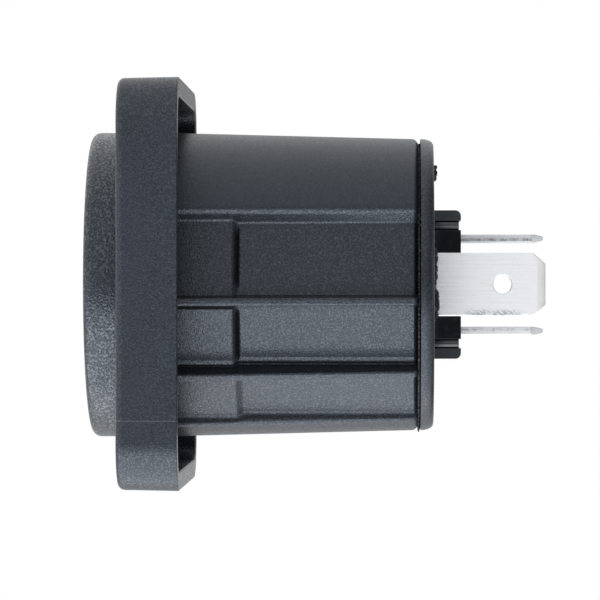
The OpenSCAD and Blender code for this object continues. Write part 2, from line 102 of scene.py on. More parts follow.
class Bench:
    """Shaping tools that work on one mesh at a time, with sizes in millimetres and angles in degrees."""

    ROD_SIDES = 96
    SEAM_WELD = 0.0002
    CUT_WELD = 0.001
    SOLID_WELD = 0.002
    FLAT_ANGLE = 0.5
    SOFT_ANGLE = 35.0
    SHARP_ANGLE = 30.0
    FLAT_WEIGHT = 50

    @staticmethod
    def clear() -> None:
        """Leaves edit mode and selects nothing."""
        if bpy.context.object is not None and bpy.context.object.mode != "OBJECT":
            bpy.ops.object.mode_set(mode="OBJECT")
        for thing in bpy.context.view_layer.objects:
            thing.select_set(False)

    @staticmethod
    def take(obj: Piece) -> None:
        """Selects one object alone and makes it active."""
        Bench.clear()
        obj.select_set(True)
        bpy.context.view_layer.objects.active = obj

    @staticmethod
    def edit_all(obj: Piece) -> None:
        """Enters edit mode with the whole mesh selected."""
        Bench.take(obj)
        bpy.ops.object.mode_set(mode="EDIT")
        bpy.ops.mesh.select_all(action="SELECT")

    @staticmethod
    def named(name: str) -> Piece:
        """Puts the active object's place into its mesh and names both."""
        bpy.ops.object.transform_apply(location=True, rotation=True, scale=True)
        obj = bpy.context.active_object
        obj.name = name
        obj.data.name = name
        return obj

    @staticmethod
    def ring(name: str, loops: Sequence[Sequence[Place]]) -> Piece:
        """Adds a grid, wraps it into a ring and welds its two seams.

        Args:
            name: name of the piece.
            loops: closed loops of points around the barrel axis, in order along the closed section.

        Returns:
            The ring, closed and with its faces outwards.
        """
        along, around = len(loops), len(loops[0])
        Bench.clear()
        bpy.ops.mesh.primitive_grid_add(x_subdivisions=along, y_subdivisions=around, size=1.0, calc_uvs=False)
        obj = Bench.named(name)
        for index, vertex in enumerate(obj.data.vertices):
            row, column = divmod(index, along + 1)
            vertex.co = Vector(loops[column % along][row % around]) * MM
        Bench.outwards(obj, Bench.SEAM_WELD)
        return obj

    @staticmethod
    def box(name: str, low: Place, high: Place) -> Piece:
        """Adds a box.

        Args:
            name: name of the piece.
            low: its lowest corner.
            high: its highest corner.

        Returns:
            The box, with its place in its mesh.
        """
        Bench.clear()
        middle = [(a + b) / 2 * MM for a, b in zip(low, high, strict=True)]
        size = [(b - a) * MM for a, b in zip(low, high, strict=True)]
        bpy.ops.mesh.primitive_cube_add(size=1.0, location=middle, scale=size)
        return Bench.named(name)

    @staticmethod
    def rod(name: str, start: Place, length: float, radius: float, end_radius: float | None = None) -> Piece:
        """Adds a round rod or cone along the barrel axis.

        Args:
            name: name of the piece.
            start: middle of its front end.
            length: length along X.
            radius: radius of its front end.
            end_radius: radius of its rear end, the same if left out.

        Returns:
            The rod, with its place in its mesh.
        """
        Bench.clear()
        bpy.ops.mesh.primitive_cone_add(
            vertices=Bench.ROD_SIDES,
            radius1=radius * MM,
            radius2=(radius if end_radius is None else end_radius) * MM,
            depth=length * MM,
            location=((start[0] + length / 2) * MM, start[1] * MM, start[2] * MM),
            rotation=(0.0, math.pi / 2, 0.0),
        )
        return Bench.named(name)

    @staticmethod
    def pick_edges(obj: Piece, test: Callable[[Vector, Vector], bool]) -> None:
        """Selects some edges and enters edit mode.

        Args:
            obj: the piece.
            test: says from an edge's two ends whether it is selected.
        """
        Bench.take(obj)
        bpy.context.tool_settings.mesh_select_mode = (False, True, False)
        mesh = obj.data
        for face in mesh.polygons:
            face.select = False
        for vertex in mesh.vertices:
            vertex.select = False
        for edge in mesh.edges:
            first, second = (mesh.vertices[i].co / MM for i in edge.vertices)
            edge.select = test(first, second)
        bpy.ops.object.mode_set(mode="EDIT")

    @staticmethod
    def outwards(obj: Piece, weld: float = 0.0) -> None:
        """Turns a closed mesh's faces outwards, after welding its points.

        Args:
            obj: the piece.
            weld: distance within which points become one.
        """
        Bench.edit_all(obj)
        if weld:
            bpy.ops.mesh.remove_doubles(threshold=weld * MM)
        bpy.ops.mesh.normals_make_consistent(inside=False)
        bpy.ops.object.mode_set(mode="OBJECT")

    @staticmethod
    def modify(obj: Piece, kind: str, **settings: object) -> None:
        """Adds one modifier and applies it.

        Args:
            obj: the piece.
            kind: the modifier's type.
            settings: the modifier's settings.
        """
        Bench.take(obj)
        bpy.ops.object.modifier_add(type=kind)
        modifier = obj.modifiers[-1]
        for key, value in settings.items():
            setattr(modifier, key, value)
        bpy.ops.object.modifier_apply(modifier=modifier.name)

    @staticmethod
    def cut(obj: Piece, tools: Iterable[Piece], how: Cut) -> None:
        """Cuts away or joins tool shapes, which are used up.

        Args:
            obj: the piece.
            tools: the tool shapes.
            how: what the tools do to the piece.
        """
        for tool in tools:
            Bench.modify(obj, "BOOLEAN", operation=how.value, object=tool, solver="EXACT")
            bpy.data.objects.remove(tool)

    @staticmethod
    def soften(obj: Piece, width: float, steps: int) -> None:
        """Rounds every sharp edge.

        Args:
            obj: the piece.
            width: width of the rounding.
            steps: number of pieces in the rounding.
        """
        Bench.modify(
            obj,
            "BEVEL",
            width=width * MM,
            segments=steps,
            limit_method="ANGLE",
            angle_limit=math.radians(Bench.SOFT_ANGLE),
            miter_outer="MITER_ARC",
        )

    @staticmethod
    def smooth(obj: Piece, angle: float = SHARP_ANGLE) -> None:
        """Shades a piece smooth except across edges sharper than an angle, and keeps its large faces flat.

        Args:
            obj: the piece.
            angle: the angle above which an edge stays sharp.
        """
        Bench.take(obj)
        bpy.ops.object.shade_smooth_by_angle(angle=math.radians(angle))
        Bench.modify(obj, "WEIGHTED_NORMAL", mode="FACE_AREA", weight=Bench.FLAT_WEIGHT, keep_sharp=True)

    @staticmethod
    def merged(node: str) -> Piece:
        """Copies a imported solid, welds its triangles and clears the lines inside flat faces.

        Args:
            node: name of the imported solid.

        Returns:
            The copy, free of its body and its materials.
        """
        Bench.take(frame["nodes"][node])
        bpy.ops.object.duplicate(linked=False)
        obj = bpy.context.active_object
        obj.parent = None
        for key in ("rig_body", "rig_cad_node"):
            if key in obj:
                del obj[key]
        obj.name = node + "_shape"
        obj.data.name = node + "_shape"
        obj.data.materials.clear()
        Bench.edit_all(obj)
        bpy.ops.mesh.remove_doubles(threshold=Bench.SOLID_WELD * MM)
        bpy.ops.mesh.customdata_custom_splitnormals_clear()
        bpy.ops.mesh.dissolve_limited(angle_limit=math.radians(Bench.FLAT_ANGLE))
        bpy.ops.mesh.normals_make_consistent(inside=False)
        bpy.ops.object.mode_set(mode="OBJECT")
        return obj


def settle(obj: Piece, finish: "Finish", *nodes: str) -> Piece:
    """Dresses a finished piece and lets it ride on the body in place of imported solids.

    Args:
        obj: the piece.
        finish: its finish.
        nodes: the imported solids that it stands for.

    Returns:
        The same piece.
    """
    obj.data.materials.clear()
    obj.data.materials.append(finish.material())
    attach(obj, BODY)
    if nodes:
        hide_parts(*nodes)
    LOG.info("%s: %d faces, %s", obj.name, len(obj.data.polygons), finish.slot.value)
    return obj


# Shader groups and finishes


def mm(*values: float) -> tuple[float, ...]:
    """Gives lengths in millimetres as scene lengths."""
    return tuple(value * MM for value in values)


def ink(colour: Colour, share: float = 1.0) -> Ink:
    """Gives an opaque colour at a share of its brightness."""
    return (*[min(1.0, part * share) for part in colour], 1.0)


class Wiring:
    """A small hand for laying out shader nodes."""

    def __init__(self, tree: bpy.types.NodeTree) -> None:
        """Works in one node tree."""
        self.tree = tree

    def add(self, kind: str, **settings: object) -> Node:
        """Adds a node and sets its options.

        Args:
            kind: the node's type.
            settings: the node's options.

        Returns:
            The node.
        """
        node = self.tree.nodes.new(kind)
        for key, value in settings.items():
            setattr(node, key, value)
        return node

    def link(self, start: Socket, end: Socket) -> None:
        """Joins two sockets."""
        self.tree.links.new(start, end)

    def feed(self, socket: Socket, value: object) -> None:
        """Joins a socket to another one, or sets it to a plain value.

        Args:
            socket: the socket that is fed.
            value: a socket or a plain value.
        """
        if isinstance(value, Socket):
            self.link(value, socket)
        else:
            socket.default_value = value

    def math(self, how: str, first: object, second: object = 0.0, clamp: bool = False) -> Socket:
        """Works out one value from two.

        Args:
            how: the operation.
            first: the first value or socket.
            second: the second value or socket.
            clamp: whether the result is kept between 0 and 1.

        Returns:
            The result.
        """
        node = self.add("ShaderNodeMath", operation=how, use_clamp=clamp)
        self.feed(node.inputs[0], first)
        self.feed(node.inputs[1], second)
        return node.outputs[0]

    def times(self, first: object, second: object) -> Socket:
        """Multiplies two values."""
        return self.math("MULTIPLY", first, second)

    def span(self, value: object, ends: Flat, to: Flat = (0.0, 1.0)) -> Socket:
        """Maps a range of a value smoothly to another range.

        Args:
            value: the value or socket.
            ends: the two ends of its range.
            to: what the two ends become.

        Returns:
            The mapped value.
        """
        node = self.add("ShaderNodeMapRange", interpolation_type="SMOOTHSTEP")
        self.feed(node.inputs["Value"], value)
        for key, number in zip(("From Min", "From Max", "To Min", "To Max"), (*ends, *to), strict=True):
            node.inputs[key].default_value = number
        return node.outputs["Result"]

    def mix(self, factor: object, first: object, second: object) -> Socket:
        """Mixes two colours.

        Args:
            factor: share of the second colour.
            first: the first colour.
            second: the second colour.

        Returns:
            The mixed colour.
        """
        node = self.add("ShaderNodeMix", data_type="RGBA", blend_type="MIX")
        for index, value in zip((0, 6, 7), (factor, first, second), strict=True):
            self.feed(node.inputs[index], value)
        return node.outputs[2]

    def noise(self, where: Socket, scale: object, detail: float = 2.0, rough: float = 0.5) -> Socket:
        """Adds a cloud pattern.

        Args:
            where: the place on the piece.
            scale: how many clouds lie in a metre.
            detail: how many finer layers it has.
            rough: how strong the finer layers are.

        Returns:
            The pattern's value.
        """
        node = self.add("ShaderNodeTexNoise")
        self.link(where, node.inputs["Vector"])
        self.feed(node.inputs["Scale"], scale)
        node.inputs["Detail"].default_value = detail
        node.inputs["Roughness"].default_value = rough
        return node.outputs["Fac"]

    def cells(self, where: Socket, scale: object) -> Node:
        """Adds a cell pattern.

        Args:
            where: the place on the piece.
            scale: how many cells lie in a metre.

        Returns:
            The pattern's node.
        """
        node = self.add("ShaderNodeTexVoronoi")
        self.link(where, node.inputs["Vector"])
        self.feed(node.inputs["Scale"], scale)
        return node

    def bump(self, height: Socket, strength: Socket, depth: float) -> Socket:
        """Turns a pattern into a bumped normal.

        Args:
            height: the pattern.
            strength: how strong the bump is.
            depth: its full depth in millimetres.

        Returns:
            The normal.
        """
        node = self.add("ShaderNodeBump")
        node.inputs["Distance"].default_value = depth * MM
        self.link(strength, node.inputs["Strength"])
        self.link(height, node.inputs["Height"])
        return node.outputs["Normal"]

    def place(self) -> Socket:
        """Gives the place on the piece."""
        return self.add("ShaderNodeTexCoord").outputs["Object"]

    def axes(self, where: Socket) -> tuple[Socket, ...]:
        """Splits a place into its X, Y and Z."""
        node = self.add("ShaderNodeSeparateXYZ")
        self.link(where, node.inputs["Vector"])
        return tuple(node.outputs)


class Group:
    """Shader groups that several finishes share, each built once."""

    OCCLUSION_SAMPLES = 6
    GRAIN_DEPTH = 0.1
    LINE_DEPTH = 0.012
    CORNER_REACH = 4.5

    @staticmethod
    def _start(name: str, inputs: Sequence[str], outputs: Sequence[str]) -> tuple[Wiring, Node, Node]:
        """Opens a new group with its sockets.

        Args:
            name: name of the group.
            inputs: names of its number inputs.
            outputs: names of its outputs, which are numbers apart from Normal.

        Returns:
            Its wiring, its input node and its output node.
        """
        tree = bpy.data.node_groups.new(name, "ShaderNodeTree")
        for key in inputs:
            tree.interface.new_socket(name=key, in_out="INPUT", socket_type="NodeSocketFloat")
        for key in outputs:
            kind = "NodeSocketVector" if key == "Normal" else "NodeSocketFloat"
            tree.interface.new_socket(name=key, in_out="OUTPUT", socket_type=kind)
        wires = Wiring(tree)
        return wires, wires.add("NodeGroupInput"), wires.add("NodeGroupOutput")

    @staticmethod
    def grain() -> bpy.types.NodeTree:
        """Gives the grain of a moulded skin.

        Returns:
            A group with a bumped normal, a slow tone, small glints and pale specks.
        """
        found = bpy.data.node_groups.get("Moulded grain")
        if found:
            return found
        wires, given, result = Group._start(
            "Moulded grain", ("Scale", "Depth", "Pits"), ("Normal", "Tone", "Glint", "Speck")
        )
        where, scale = wires.place(), given.outputs["Scale"]
        fine = wires.noise(where, scale, 1.0, 0.5)
        pit = wires.span(wires.cells(where, wires.times(scale, 0.7)).outputs["Distance"], (0.05, 0.55), FALL)
        height = wires.math("ADD", fine, wires.times(pit, given.outputs["Pits"]))
        normal = wires.bump(height, given.outputs["Depth"], Group.GRAIN_DEPTH)
        wires.link(normal, result.inputs["Normal"])
        slow = wires.noise(where, 190.0, 4.0, 0.6)
        wires.link(wires.span(slow, (0.3, 0.7)), result.inputs["Tone"])
        sparks = wires.cells(where, wires.times(scale, 0.9))
        wires.link(wires.span(sparks.outputs["Color"], (0.7, 0.95)), result.inputs["Glint"])
        crumbs = wires.noise(where, wires.times(scale, 0.85), 1.0, 0.5)
        wires.link(wires.span(crumbs, (0.46, 0.66)), result.inputs["Speck"])
        return wires.tree

    @staticmethod
    def lint() -> bpy.types.NodeTree:
        """Gives sparse pale specks of lint that lie on a surface.

        Returns:
            A group with the specks' mask.
        """
        found = bpy.data.node_groups.get("Lint")
        if found:
            return found
        wires, given, result = Group._start("Lint", ("Scale", "Amount"), ("Mask",))
        cells = wires.cells(wires.place(), given.outputs["Scale"])
        near = wires.span(cells.outputs["Distance"], (0.04, 0.09), FALL)
        chosen = wires.math("LESS_THAN", cells.outputs["Color"], given.outputs["Amount"])
        wires.link(wires.times(near, chosen), result.inputs["Mask"])
        return wires.tree

    @staticmethod
    def rub() -> bpy.types.NodeTree:
        """Gives rubbed outer edges and shaded inner corners, found from how open the surface is.

        Returns:
            A group with the masks of both.
        """
        found = bpy.data.node_groups.get("Rub and shade")
        if found:
            return found
        wires, given, result = Group._start("Rub and shade", ("Reach",), ("Edge", "Corner"))
        reach, samples = given.outputs["Reach"], Group.OCCLUSION_SAMPLES
        broken = wires.noise(wires.place(), 900.0, 4.0, 0.65)
        inside = wires.add("ShaderNodeAmbientOcclusion", samples=samples, inside=True, only_local=True)
        wires.link(reach, inside.inputs["Distance"])
        bare = wires.span(inside.outputs["AO"], (0.62, 0.3))
        wires.link(wires.times(bare, wires.span(broken, (0.35, 0.7))), result.inputs["Edge"])
        outside = wires.add("ShaderNodeAmbientOcclusion", samples=samples)
        wires.link(wires.times(reach, Group.CORNER_REACH), outside.inputs["Distance"])
        wires.link(wires.span(outside.outputs["AO"], (0.92, 0.42)), result.inputs["Corner"])
        return wires.tree

    @staticmethod
    def drawn() -> bpy.types.NodeTree:
        """Gives the fine lines that rolling leaves along a metal strip.

        Returns:
            A group with a bumped normal, a tone and scuffs.
        """
        found = bpy.data.node_groups.get("Drawn lines")
        if found:
            return found
        wires, given, result = Group._start("Drawn lines", ("Lines", "Depth"), ("Normal", "Tone", "Scuff"))
        where = wires.place()
        stretch = wires.add("ShaderNodeMapping")
        wires.link(where, stretch.inputs["Vector"])
        stretch.inputs["Scale"].default_value = (0.02, 1.0, 1.0)
        lines = wires.noise(stretch.outputs["Vector"], given.outputs["Lines"], 3.0, 0.7)
        normal = wires.bump(lines, given.outputs["Depth"], Group.LINE_DEPTH)
        wires.link(normal, result.inputs["Normal"])
        cloud = wires.noise(where, 420.0, 4.0, 0.6)
        tone = wires.times(wires.span(lines, (0.3, 0.7)), wires.span(cloud, (0.25, 0.6)))
        wires.link(tone, result.inputs["Tone"])
        scratch = wires.noise(where, 2600.0, 5.0, 0.75)
        scuff = wires.times(wires.span(scratch, (0.58, 0.7)), wires.span(cloud, (0.45, 0.62)))
        wires.link(scuff, result.inputs["Scuff"])
        return wires.tree


@dataclass(frozen=True)
class Finish:
    """A named finish that belongs to one slot of the record."""

    name: str
    slot: Slot

    def material(self) -> bpy.types.Material:
        """Gives the finish's material, built on first use.

        Returns:
            The material.
        """
        found = bpy.data.materials.get(self.name)
        if found:
            return found
        made = bpy.data.materials.new(self.name)
        made.use_nodes = True
        made.node_tree.nodes.clear()
        wires = Wiring(made.node_tree)
        skin = wires.add("ShaderNodeBsdfPrincipled")
        wires.link(skin.outputs["BSDF"], wires.add("ShaderNodeOutputMaterial").inputs["Surface"])
        self.dress(wires, skin)
        return made

    def dress(self, wires: Wiring, skin: Node) -> None:
        """Wires the finish's patterns into its surface."""
        raise NotImplementedError

    @staticmethod
    def group(wires: Wiring, tree: bpy.types.NodeTree, **values: float) -> Node:
        """Places a shared group with its own values.

        Args:
            wires: the finish's wiring.
            tree: the group.
            values: what its inputs are set to.

        Returns:
            The group's node.
        """
        node = wires.add("ShaderNodeGroup", node_tree=tree)
        for key, value in values.items():
            node.inputs[key].default_value = value
        return node

    @staticmethod
    def layered(wires: Wiring, colour: object, layers: Iterable[tuple[Socket, float, Ink]]) -> Socket:
        """Lays colours over a first one.

        Args:
            wires: the finish's wiring.
            colour: the first colour.
            layers: mask, strength and colour of each further layer.

        Returns:
            The whole colour.
        """
        for mask, cover, over in layers:
            colour = wires.mix(wires.times(mask, cover), colour, over)
        return colour


@dataclass(frozen=True)
class Moulded(Finish):
    """Dark moulded plastic with a spark-eroded grain.

    Places, widths and reaches are in millimetres, and shares are of the plastic's own colour.
    """

    colour: Colour = (0.0085, 0.0107, 0.0145)
    tint: Colour = (0.735, 0.85, 1.0)
    shine: float = 0.6
    rough: float = 0.42
    coat_rough: float = 0.22
    grain: float = 9000.0
    depth: float = 0.5
    pits: float = 0.5
    tones: Flat = (0.7, 0.95)
    glint: float = 0.15
    speck: float = 0.5
    speck_share: float = 3.0
    spark: float = 0.4
    reach: float = 0.22
    edge_wear: float = 0.55
    edge_share: float = 2.6
    corner_shade: float = 0.9
    corner_share: float = 0.2
    corner_rough: float = 0.2
    lint: float = 0.02
    lint_scale: float = 420.0
    lint_cover: float = 0.8
    lint_colour: Colour = (0.5, 0.5, 0.5)
    seam_z: float | None = None
    seam_y: float = -18.0
    seam_width: Flat = (0.02, 0.06)
    seam_cover: float = 0.22
    seam_highlight_colour: Colour = (0.25, 0.26, 0.27)
    dull_z: float | None = None
    dull_edge: float = 0.03
    dull_rough: float = 0.2
    dull_coat: float = 0.8
    calm_z: float | None = None
    calm_fade: Flat = (-0.2, 0.3)
    calm: float = 0.4

    def dress(self, wires: Wiring, skin: Node) -> None:
        """Wires grain, rubbed edges, shaded corners and lint into the plastic.

        Args:
            wires: the finish's wiring.
            skin: its surface.
        """
        grain = self.group(wires, Group.grain(), Scale=self.grain, Depth=self.depth, Pits=self.pits)
        rub = self.group(wires, Group.rub(), Reach=self.reach * MM)
        lint = self.group(wires, Group.lint(), Scale=self.lint_scale, Amount=self.lint)
        lively = 1.0 if self.calm_z is None else self.lively(wires)
        wires.link(wires.times(lively, self.depth), grain.inputs["Depth"])
        speck = wires.times(grain.outputs["Speck"], lively)
        dark, light = (ink(self.colour, share) for share in self.tones)
        layers = [
            (speck, self.speck, ink(self.colour, self.speck_share)),
            (rub.outputs["Edge"], self.edge_wear, ink(self.colour, self.edge_share)),
            (rub.outputs["Corner"], self.corner_shade, ink(self.colour, self.corner_share)),
            (lint.outputs["Mask"], self.lint_cover, ink(self.lint_colour)),
        ]
        # The mould line is real; its pale colour is a painted highlight along it.
        if self.seam_z is not None:
            layers.append((self.seam(wires), self.seam_cover, ink(self.seam_highlight_colour)))
        colour = self.layered(wires, wires.mix(grain.outputs["Tone"], dark, light), layers)
        wires.link(colour, skin.inputs["Base Color"])
        rough = wires.math("SUBTRACT", self.rough, wires.times(grain.outputs["Glint"], self.glint))
        coat = wires.times(speck, self.spark)
        if self.dull_z is not None:
            outside = self.outside(wires)
            rough = wires.math("ADD", rough, wires.times(outside, self.dull_rough))
            coat = wires.math("ADD", coat, wires.times(outside, self.dull_coat), clamp=True)
        rough = wires.math("ADD", rough, wires.times(rub.outputs["Corner"], self.corner_rough), clamp=True)
        wires.link(rough, skin.inputs["Roughness"])
        wires.link(grain.outputs["Normal"], skin.inputs["Normal"])
        wires.link(coat, skin.inputs["Coat Weight"])
        skin.inputs["Coat Roughness"].default_value = self.coat_rough
        skin.inputs["Specular IOR Level"].default_value = self.shine
        skin.inputs["Specular Tint"].default_value = ink(self.tint)

    def outside(self, wires: Wiring) -> Socket:
        """Gives a mask of the parts farther than a height from the middle plane."""
        away = wires.math("ABSOLUTE", wires.axes(wires.place())[2])
        return wires.span(away, mm(self.dull_z - self.dull_edge, self.dull_z + self.dull_edge))

    def lively(self, wires: Wiring) -> Socket:
        """Gives the strength of the grain, which is faint above a height."""
        ends = mm(*[self.calm_z + fade for fade in self.calm_fade])
        return wires.span(wires.axes(wires.place())[2], ends, (1.0, self.calm))

    def seam(self, wires: Wiring) -> Socket:
        """Gives a mask of the thin mould line across the flange's near side, drawn paler than the plastic as
        a painted highlight along it.

        Args:
            wires: the finish's wiring.

        Returns:
            The mask.
        """
        _, y, z = wires.axes(wires.place())
        away = wires.math("ABSOLUTE", wires.math("SUBTRACT", z, self.seam_z * MM))
        near = wires.math("LESS_THAN", y, self.seam_y * MM)
        return wires.times(wires.span(away, mm(*self.seam_width), FALL), near)


@dataclass(frozen=True)
class Tinned(Finish):
    """Rolled metal strip, tin plated or bare, with places and heights in millimetres."""

    colour: Colour = (0.83, 0.85, 0.872)
    dull: Colour = (0.6, 0.62, 0.65)
    rough: float = 0.42
    lines: float = 5200.0
    depth: float = 0.5
    tone: float = 0.5
    tone_rough: float = 0.12
    scuff: float = 0.5
    scuff_share: float = 0.45
    scuff_rough: float = 0.2
    reach: float = 0.12
    edge_share: float = 1.25
    scrape_z: float | None = None
    scrape_h: float = 0.5
    scrape_start: Flat = (27.6, 29.2)
    scrape_end: Flat = (32.6, 34.2)
    scrape_turn: float = 40.0
    scrape_stretch: Place = (7.0, 7.0, 1.0)
    scrape: float = 0.85
    scrape_colour: Colour = (0.2, 0.21, 0.23)
    tip_x: float | None = None
    tip_edge: float = 0.04
    tip: float = 0.8
    tip_shade_colour: Colour = (0.72, 0.71, 0.7)
    shear: float = 0.0
    shear_y: float = 1.0
    shear_h: float = 0.5
    shear_low: Flat = (4.42, 4.48)
    shear_high: Flat = (4.8, 5.05)
    shear_colour: Colour = (0.16, 0.145, 0.14)

    def dress(self, wires: Wiring, skin: Node) -> None:
        """Wires rolled lines, a cloudy tone, scuffs, the strip's own marks and a painted shade on its coined
        tip into the metal.

        Args:
            wires: the finish's wiring.
            skin: its surface.
        """
        drawn = self.group(wires, Group.drawn(), Lines=self.lines, Depth=self.depth)
        rub = self.group(wires, Group.rub(), Reach=self.reach * MM)
        tone, scuff = drawn.outputs["Tone"], drawn.outputs["Scuff"]
        where = wires.place()
        layers = [
            (tone, self.tone, ink(self.dull)),
            (scuff, self.scuff, ink(self.dull, self.scuff_share)),
            (rub.outputs["Edge"], 1.0, ink(self.colour, self.edge_share)),
        ]
        if self.scrape_z is not None:
            layers.append((self.scraped(wires, where), self.scrape, ink(self.scrape_colour)))
        # Painted shade: the coined band at the tip is drawn darker, as its tilted face would look in the
        # light.
        if self.tip_x is not None:
            layers.append((self.tip_shade(wires, where), self.tip, ink(self.tip_shade_colour)))
        if self.shear:
            layers.append((self.sheared(wires, where), self.shear, ink(self.shear_colour)))
        wires.link(self.layered(wires, ink(self.colour), layers), skin.inputs["Base Color"])
        skin.inputs["Metallic"].default_value = 1.0
        rough = wires.math("ADD", self.rough, wires.times(tone, self.tone_rough))
        rough = wires.math("ADD", rough, wires.times(scuff, self.scuff_rough), clamp=True)
        wires.link(rough, skin.inputs["Roughness"])
        wires.link(drawn.outputs["Normal"], skin.inputs["Normal"])

    def scraped(self, wires: Wiring, where: Socket) -> Socket:
        """Gives a mask of the short slanted scratches along the strip's lower edge.

        Args:
            wires: the finish's wiring.
            where: the place on the piece.

        Returns:
            The mask.
        """
        slant = wires.add("ShaderNodeMapping", vector_type="TEXTURE")
        wires.link(where, slant.inputs["Vector"])
        slant.inputs["Rotation"].default_value = (0.0, math.radians(self.scrape_turn), 0.0)
        slant.inputs["Scale"].default_value = self.scrape_stretch
        marks = wires.span(wires.noise(slant.outputs["Vector"], 11500.0, 2.0, 0.6), (0.44, 0.58))
        x, _, z = wires.axes(where)
        drift = wires.times(wires.noise(where, 700.0, 2.0, 0.5), self.scrape_h * MM)
        low = wires.span(wires.math("ADD", z, drift), mm(self.scrape_z, self.scrape_z + self.scrape_h), FALL)
        begun = wires.span(x, mm(*self.scrape_start))
        going = wires.span(x, mm(*self.scrape_end), FALL)
        return wires.times(wires.times(marks, low), wires.times(begun, going))

    def tip_shade(self, wires: Wiring, where: Socket) -> Socket:
        """Gives a mask of the painted shade that darkens the band at the strip's coined tip."""
        return wires.span(wires.axes(where)[0], mm(self.tip_x - self.tip_edge, self.tip_x + self.tip_edge))

    def sheared(self, wires: Wiring, where: Socket) -> Socket:
        """Gives a mask of the torn marks on a strip's cut edge, on the half towards the middle.

        Args:
            wires: the finish's wiring.
            where: the place on the piece.

        Returns:
            The mask.
        """
        _, y, z = wires.axes(where)
        cut = wires.math("LESS_THAN", y, self.shear_y * MM)
        ragged = wires.times(wires.noise(where, 1500.0, 3.0, 0.6), self.shear_h * MM)
        height = wires.math("ABSOLUTE", z)
        inner = wires.span(wires.math("ADD", height, ragged), mm(*self.shear_high), FALL)
        inner = wires.times(inner, wires.span(height, mm(*self.shear_low)))
        spots = wires.span(wires.noise(where, 2600.0, 2.0, 0.5), (0.4, 0.62), (0.25, 1.0))
        return wires.times(cut, wires.times(inner, spots))


FLANGE_SKIN = Moulded(
    "Fine matte moulding",
    Slot.FINE,
    rough=0.36,
    grain=7000.0,
    depth=0.3,
    pits=0.3,
    spark=0.55,
    seam_z=-13.29,
)
NOSE_SKIN = Moulded(
    "Coarse eroded moulding",
    Slot.COARSE,
    shine=0.64,
    rough=0.3,
    grain=5200.0,
    depth=0.52,
    pits=0.4,
    glint=0.12,
    spark=1.0,
)
BARREL_SKIN = Moulded(
    "Grained moulding",
    Slot.GRAINED,
    shine=0.57,
    rough=0.36,
    grain=7600.0,
    depth=0.35,
    pits=0.4,
    glint=0.12,
    spark=0.5,
    calm_z=7.4,
)
CAP_SKIN = Moulded(
    "Cap moulding",
    Slot.FINE,
    shine=0.52,
    rough=0.3,
    grain=7200.0,
    depth=0.3,
    pits=0.3,
    speck=0.45,
    spark=0.35,
)
BLOCK_SKIN = Moulded(
    "Smooth black moulding",
    Slot.GLOSS,
    colour=(0.004, 0.005, 0.006),
    rough=0.16,
    grain=2600.0,
    depth=0.03,
    pits=0.1,
    glint=0.03,
    spark=0.0,
    lint=0.006,
    dull_z=5.47,
)
INSERT_SKIN = replace(BLOCK_SKIN, name="Smooth insert moulding", dull_z=None)
SEALANT_SKIN = Moulded(
    "Cured sealant",
    Slot.SEALANT,
    colour=(0.003, 0.0035, 0.004),
    shine=0.25,
    rough=0.34,
    grain=4200.0,
    depth=0.6,
    pits=0.6,
    spark=0.3,
)
GASKET_SKIN = Moulded(
    "Gasket rubber", Slot.GASKET, colour=(0.02, 0.02, 0.02), rough=0.7, grain=4200.0, depth=0.3, glint=0.0
)
TAB_SKIN = Tinned("Tinned strip", Slot.TINNED, scrape_z=-2.6, tip_x=35.3)
LINE_SKIN = Tinned("Tinned strip, torn edge", Slot.TINNED, shear=0.7)
NEUTRAL_SKIN = Tinned("Tinned strip, cut edge", Slot.TINNED, shear=0.5)
BRASS_SKIN = Tinned(
    "Bare brass", Slot.BRASS, colour=(0.80, 0.62, 0.32), dull=(0.55, 0.40, 0.18), rough=0.3, depth=0.3
)


# Sections


LEAST_SLOPE = 0.05
LEAST_REACH = 0.03


def turn(radius: float, degrees: float) -> Flat:
    """Gives a point at a radius and an angle below the middle of the near side, as Y and Z."""
    angle = math.radians(degrees)
    return -radius * math.cos(angle), -radius * math.sin(angle)


def circle(x: float, radius: float, angles: Iterable[float]) -> list[Place]:
    """Gives the points of a circle around the barrel axis."""
    return [(x, radius * math.cos(angle), radius * math.sin(angle)) for angle in angles]


def rounded(before: Flat, corner: Flat, after: Flat, radius: float, steps: int, most: float) -> list[Flat]:
    """Rounds one corner of a path.

    Args:
        before: a point on the path before the corner.
        corner: the sharp corner.
        after: a point on the path after the corner.
        radius: radius of the rounding.
        steps: number of pieces in the rounding.
        most: largest share of either side that the rounding may use up.

    Returns:
        The points that take the corner's place.
    """
    here = Vector(corner)
    back = Vector(before) - here
    on = Vector(after) - here
    half = back.angle(on) / 2
    reach = max(radius / max(math.tan(half), LEAST_SLOPE), LEAST_REACH)
    reach = min(reach, most * back.length, most * on.length)
    start = here + back.normalized() * reach
    end = here + on.normalized() * reach
    weight = math.sin(half)
    points = []
    for step in range(steps + 1):
        t = step / steps
        pull = 2 * weight * t * (1 - t)
        p = (start * (1 - t) ** 2 + here * pull + end * t**2) / ((1 - t) ** 2 + pull + t**2)
        points.append((p.x, p.y))
    return points


def between(first: Flat, second: Flat, count: int) -> list[Flat]:
    """Gives evenly spaced points strictly between two points."""
    pairs = list(zip(first, second, strict=True))
    return [tuple(a + (b - a) * k / (count + 1) for a, b in pairs) for k in range(1, count + 1)]


def quarter(radius: float, steps: int) -> list[Flat]:
    """Gives the sine and cosine shares of a quarter round, scaled by a radius."""
    angles = [math.pi / 2 * k / steps for k in range(steps + 1)]
    return [(radius * math.sin(angle), radius * math.cos(angle)) for angle in angles]


# Sub-assemblies, with sizes in millimetres and angles in degrees


class Corner(NamedTuple):
    """One rounded corner of the barrel's section.

    Most is the largest share of either side that the rounding may use up. Floor is the share of the
    cross groove's depth on the floor before the corner, where there is one, and sunk is the share at
    the corner itself.
    """

    point: Flat
    radius: float
    most: float = 0.48
    floor: float | None = None
    sunk: float = 0.0


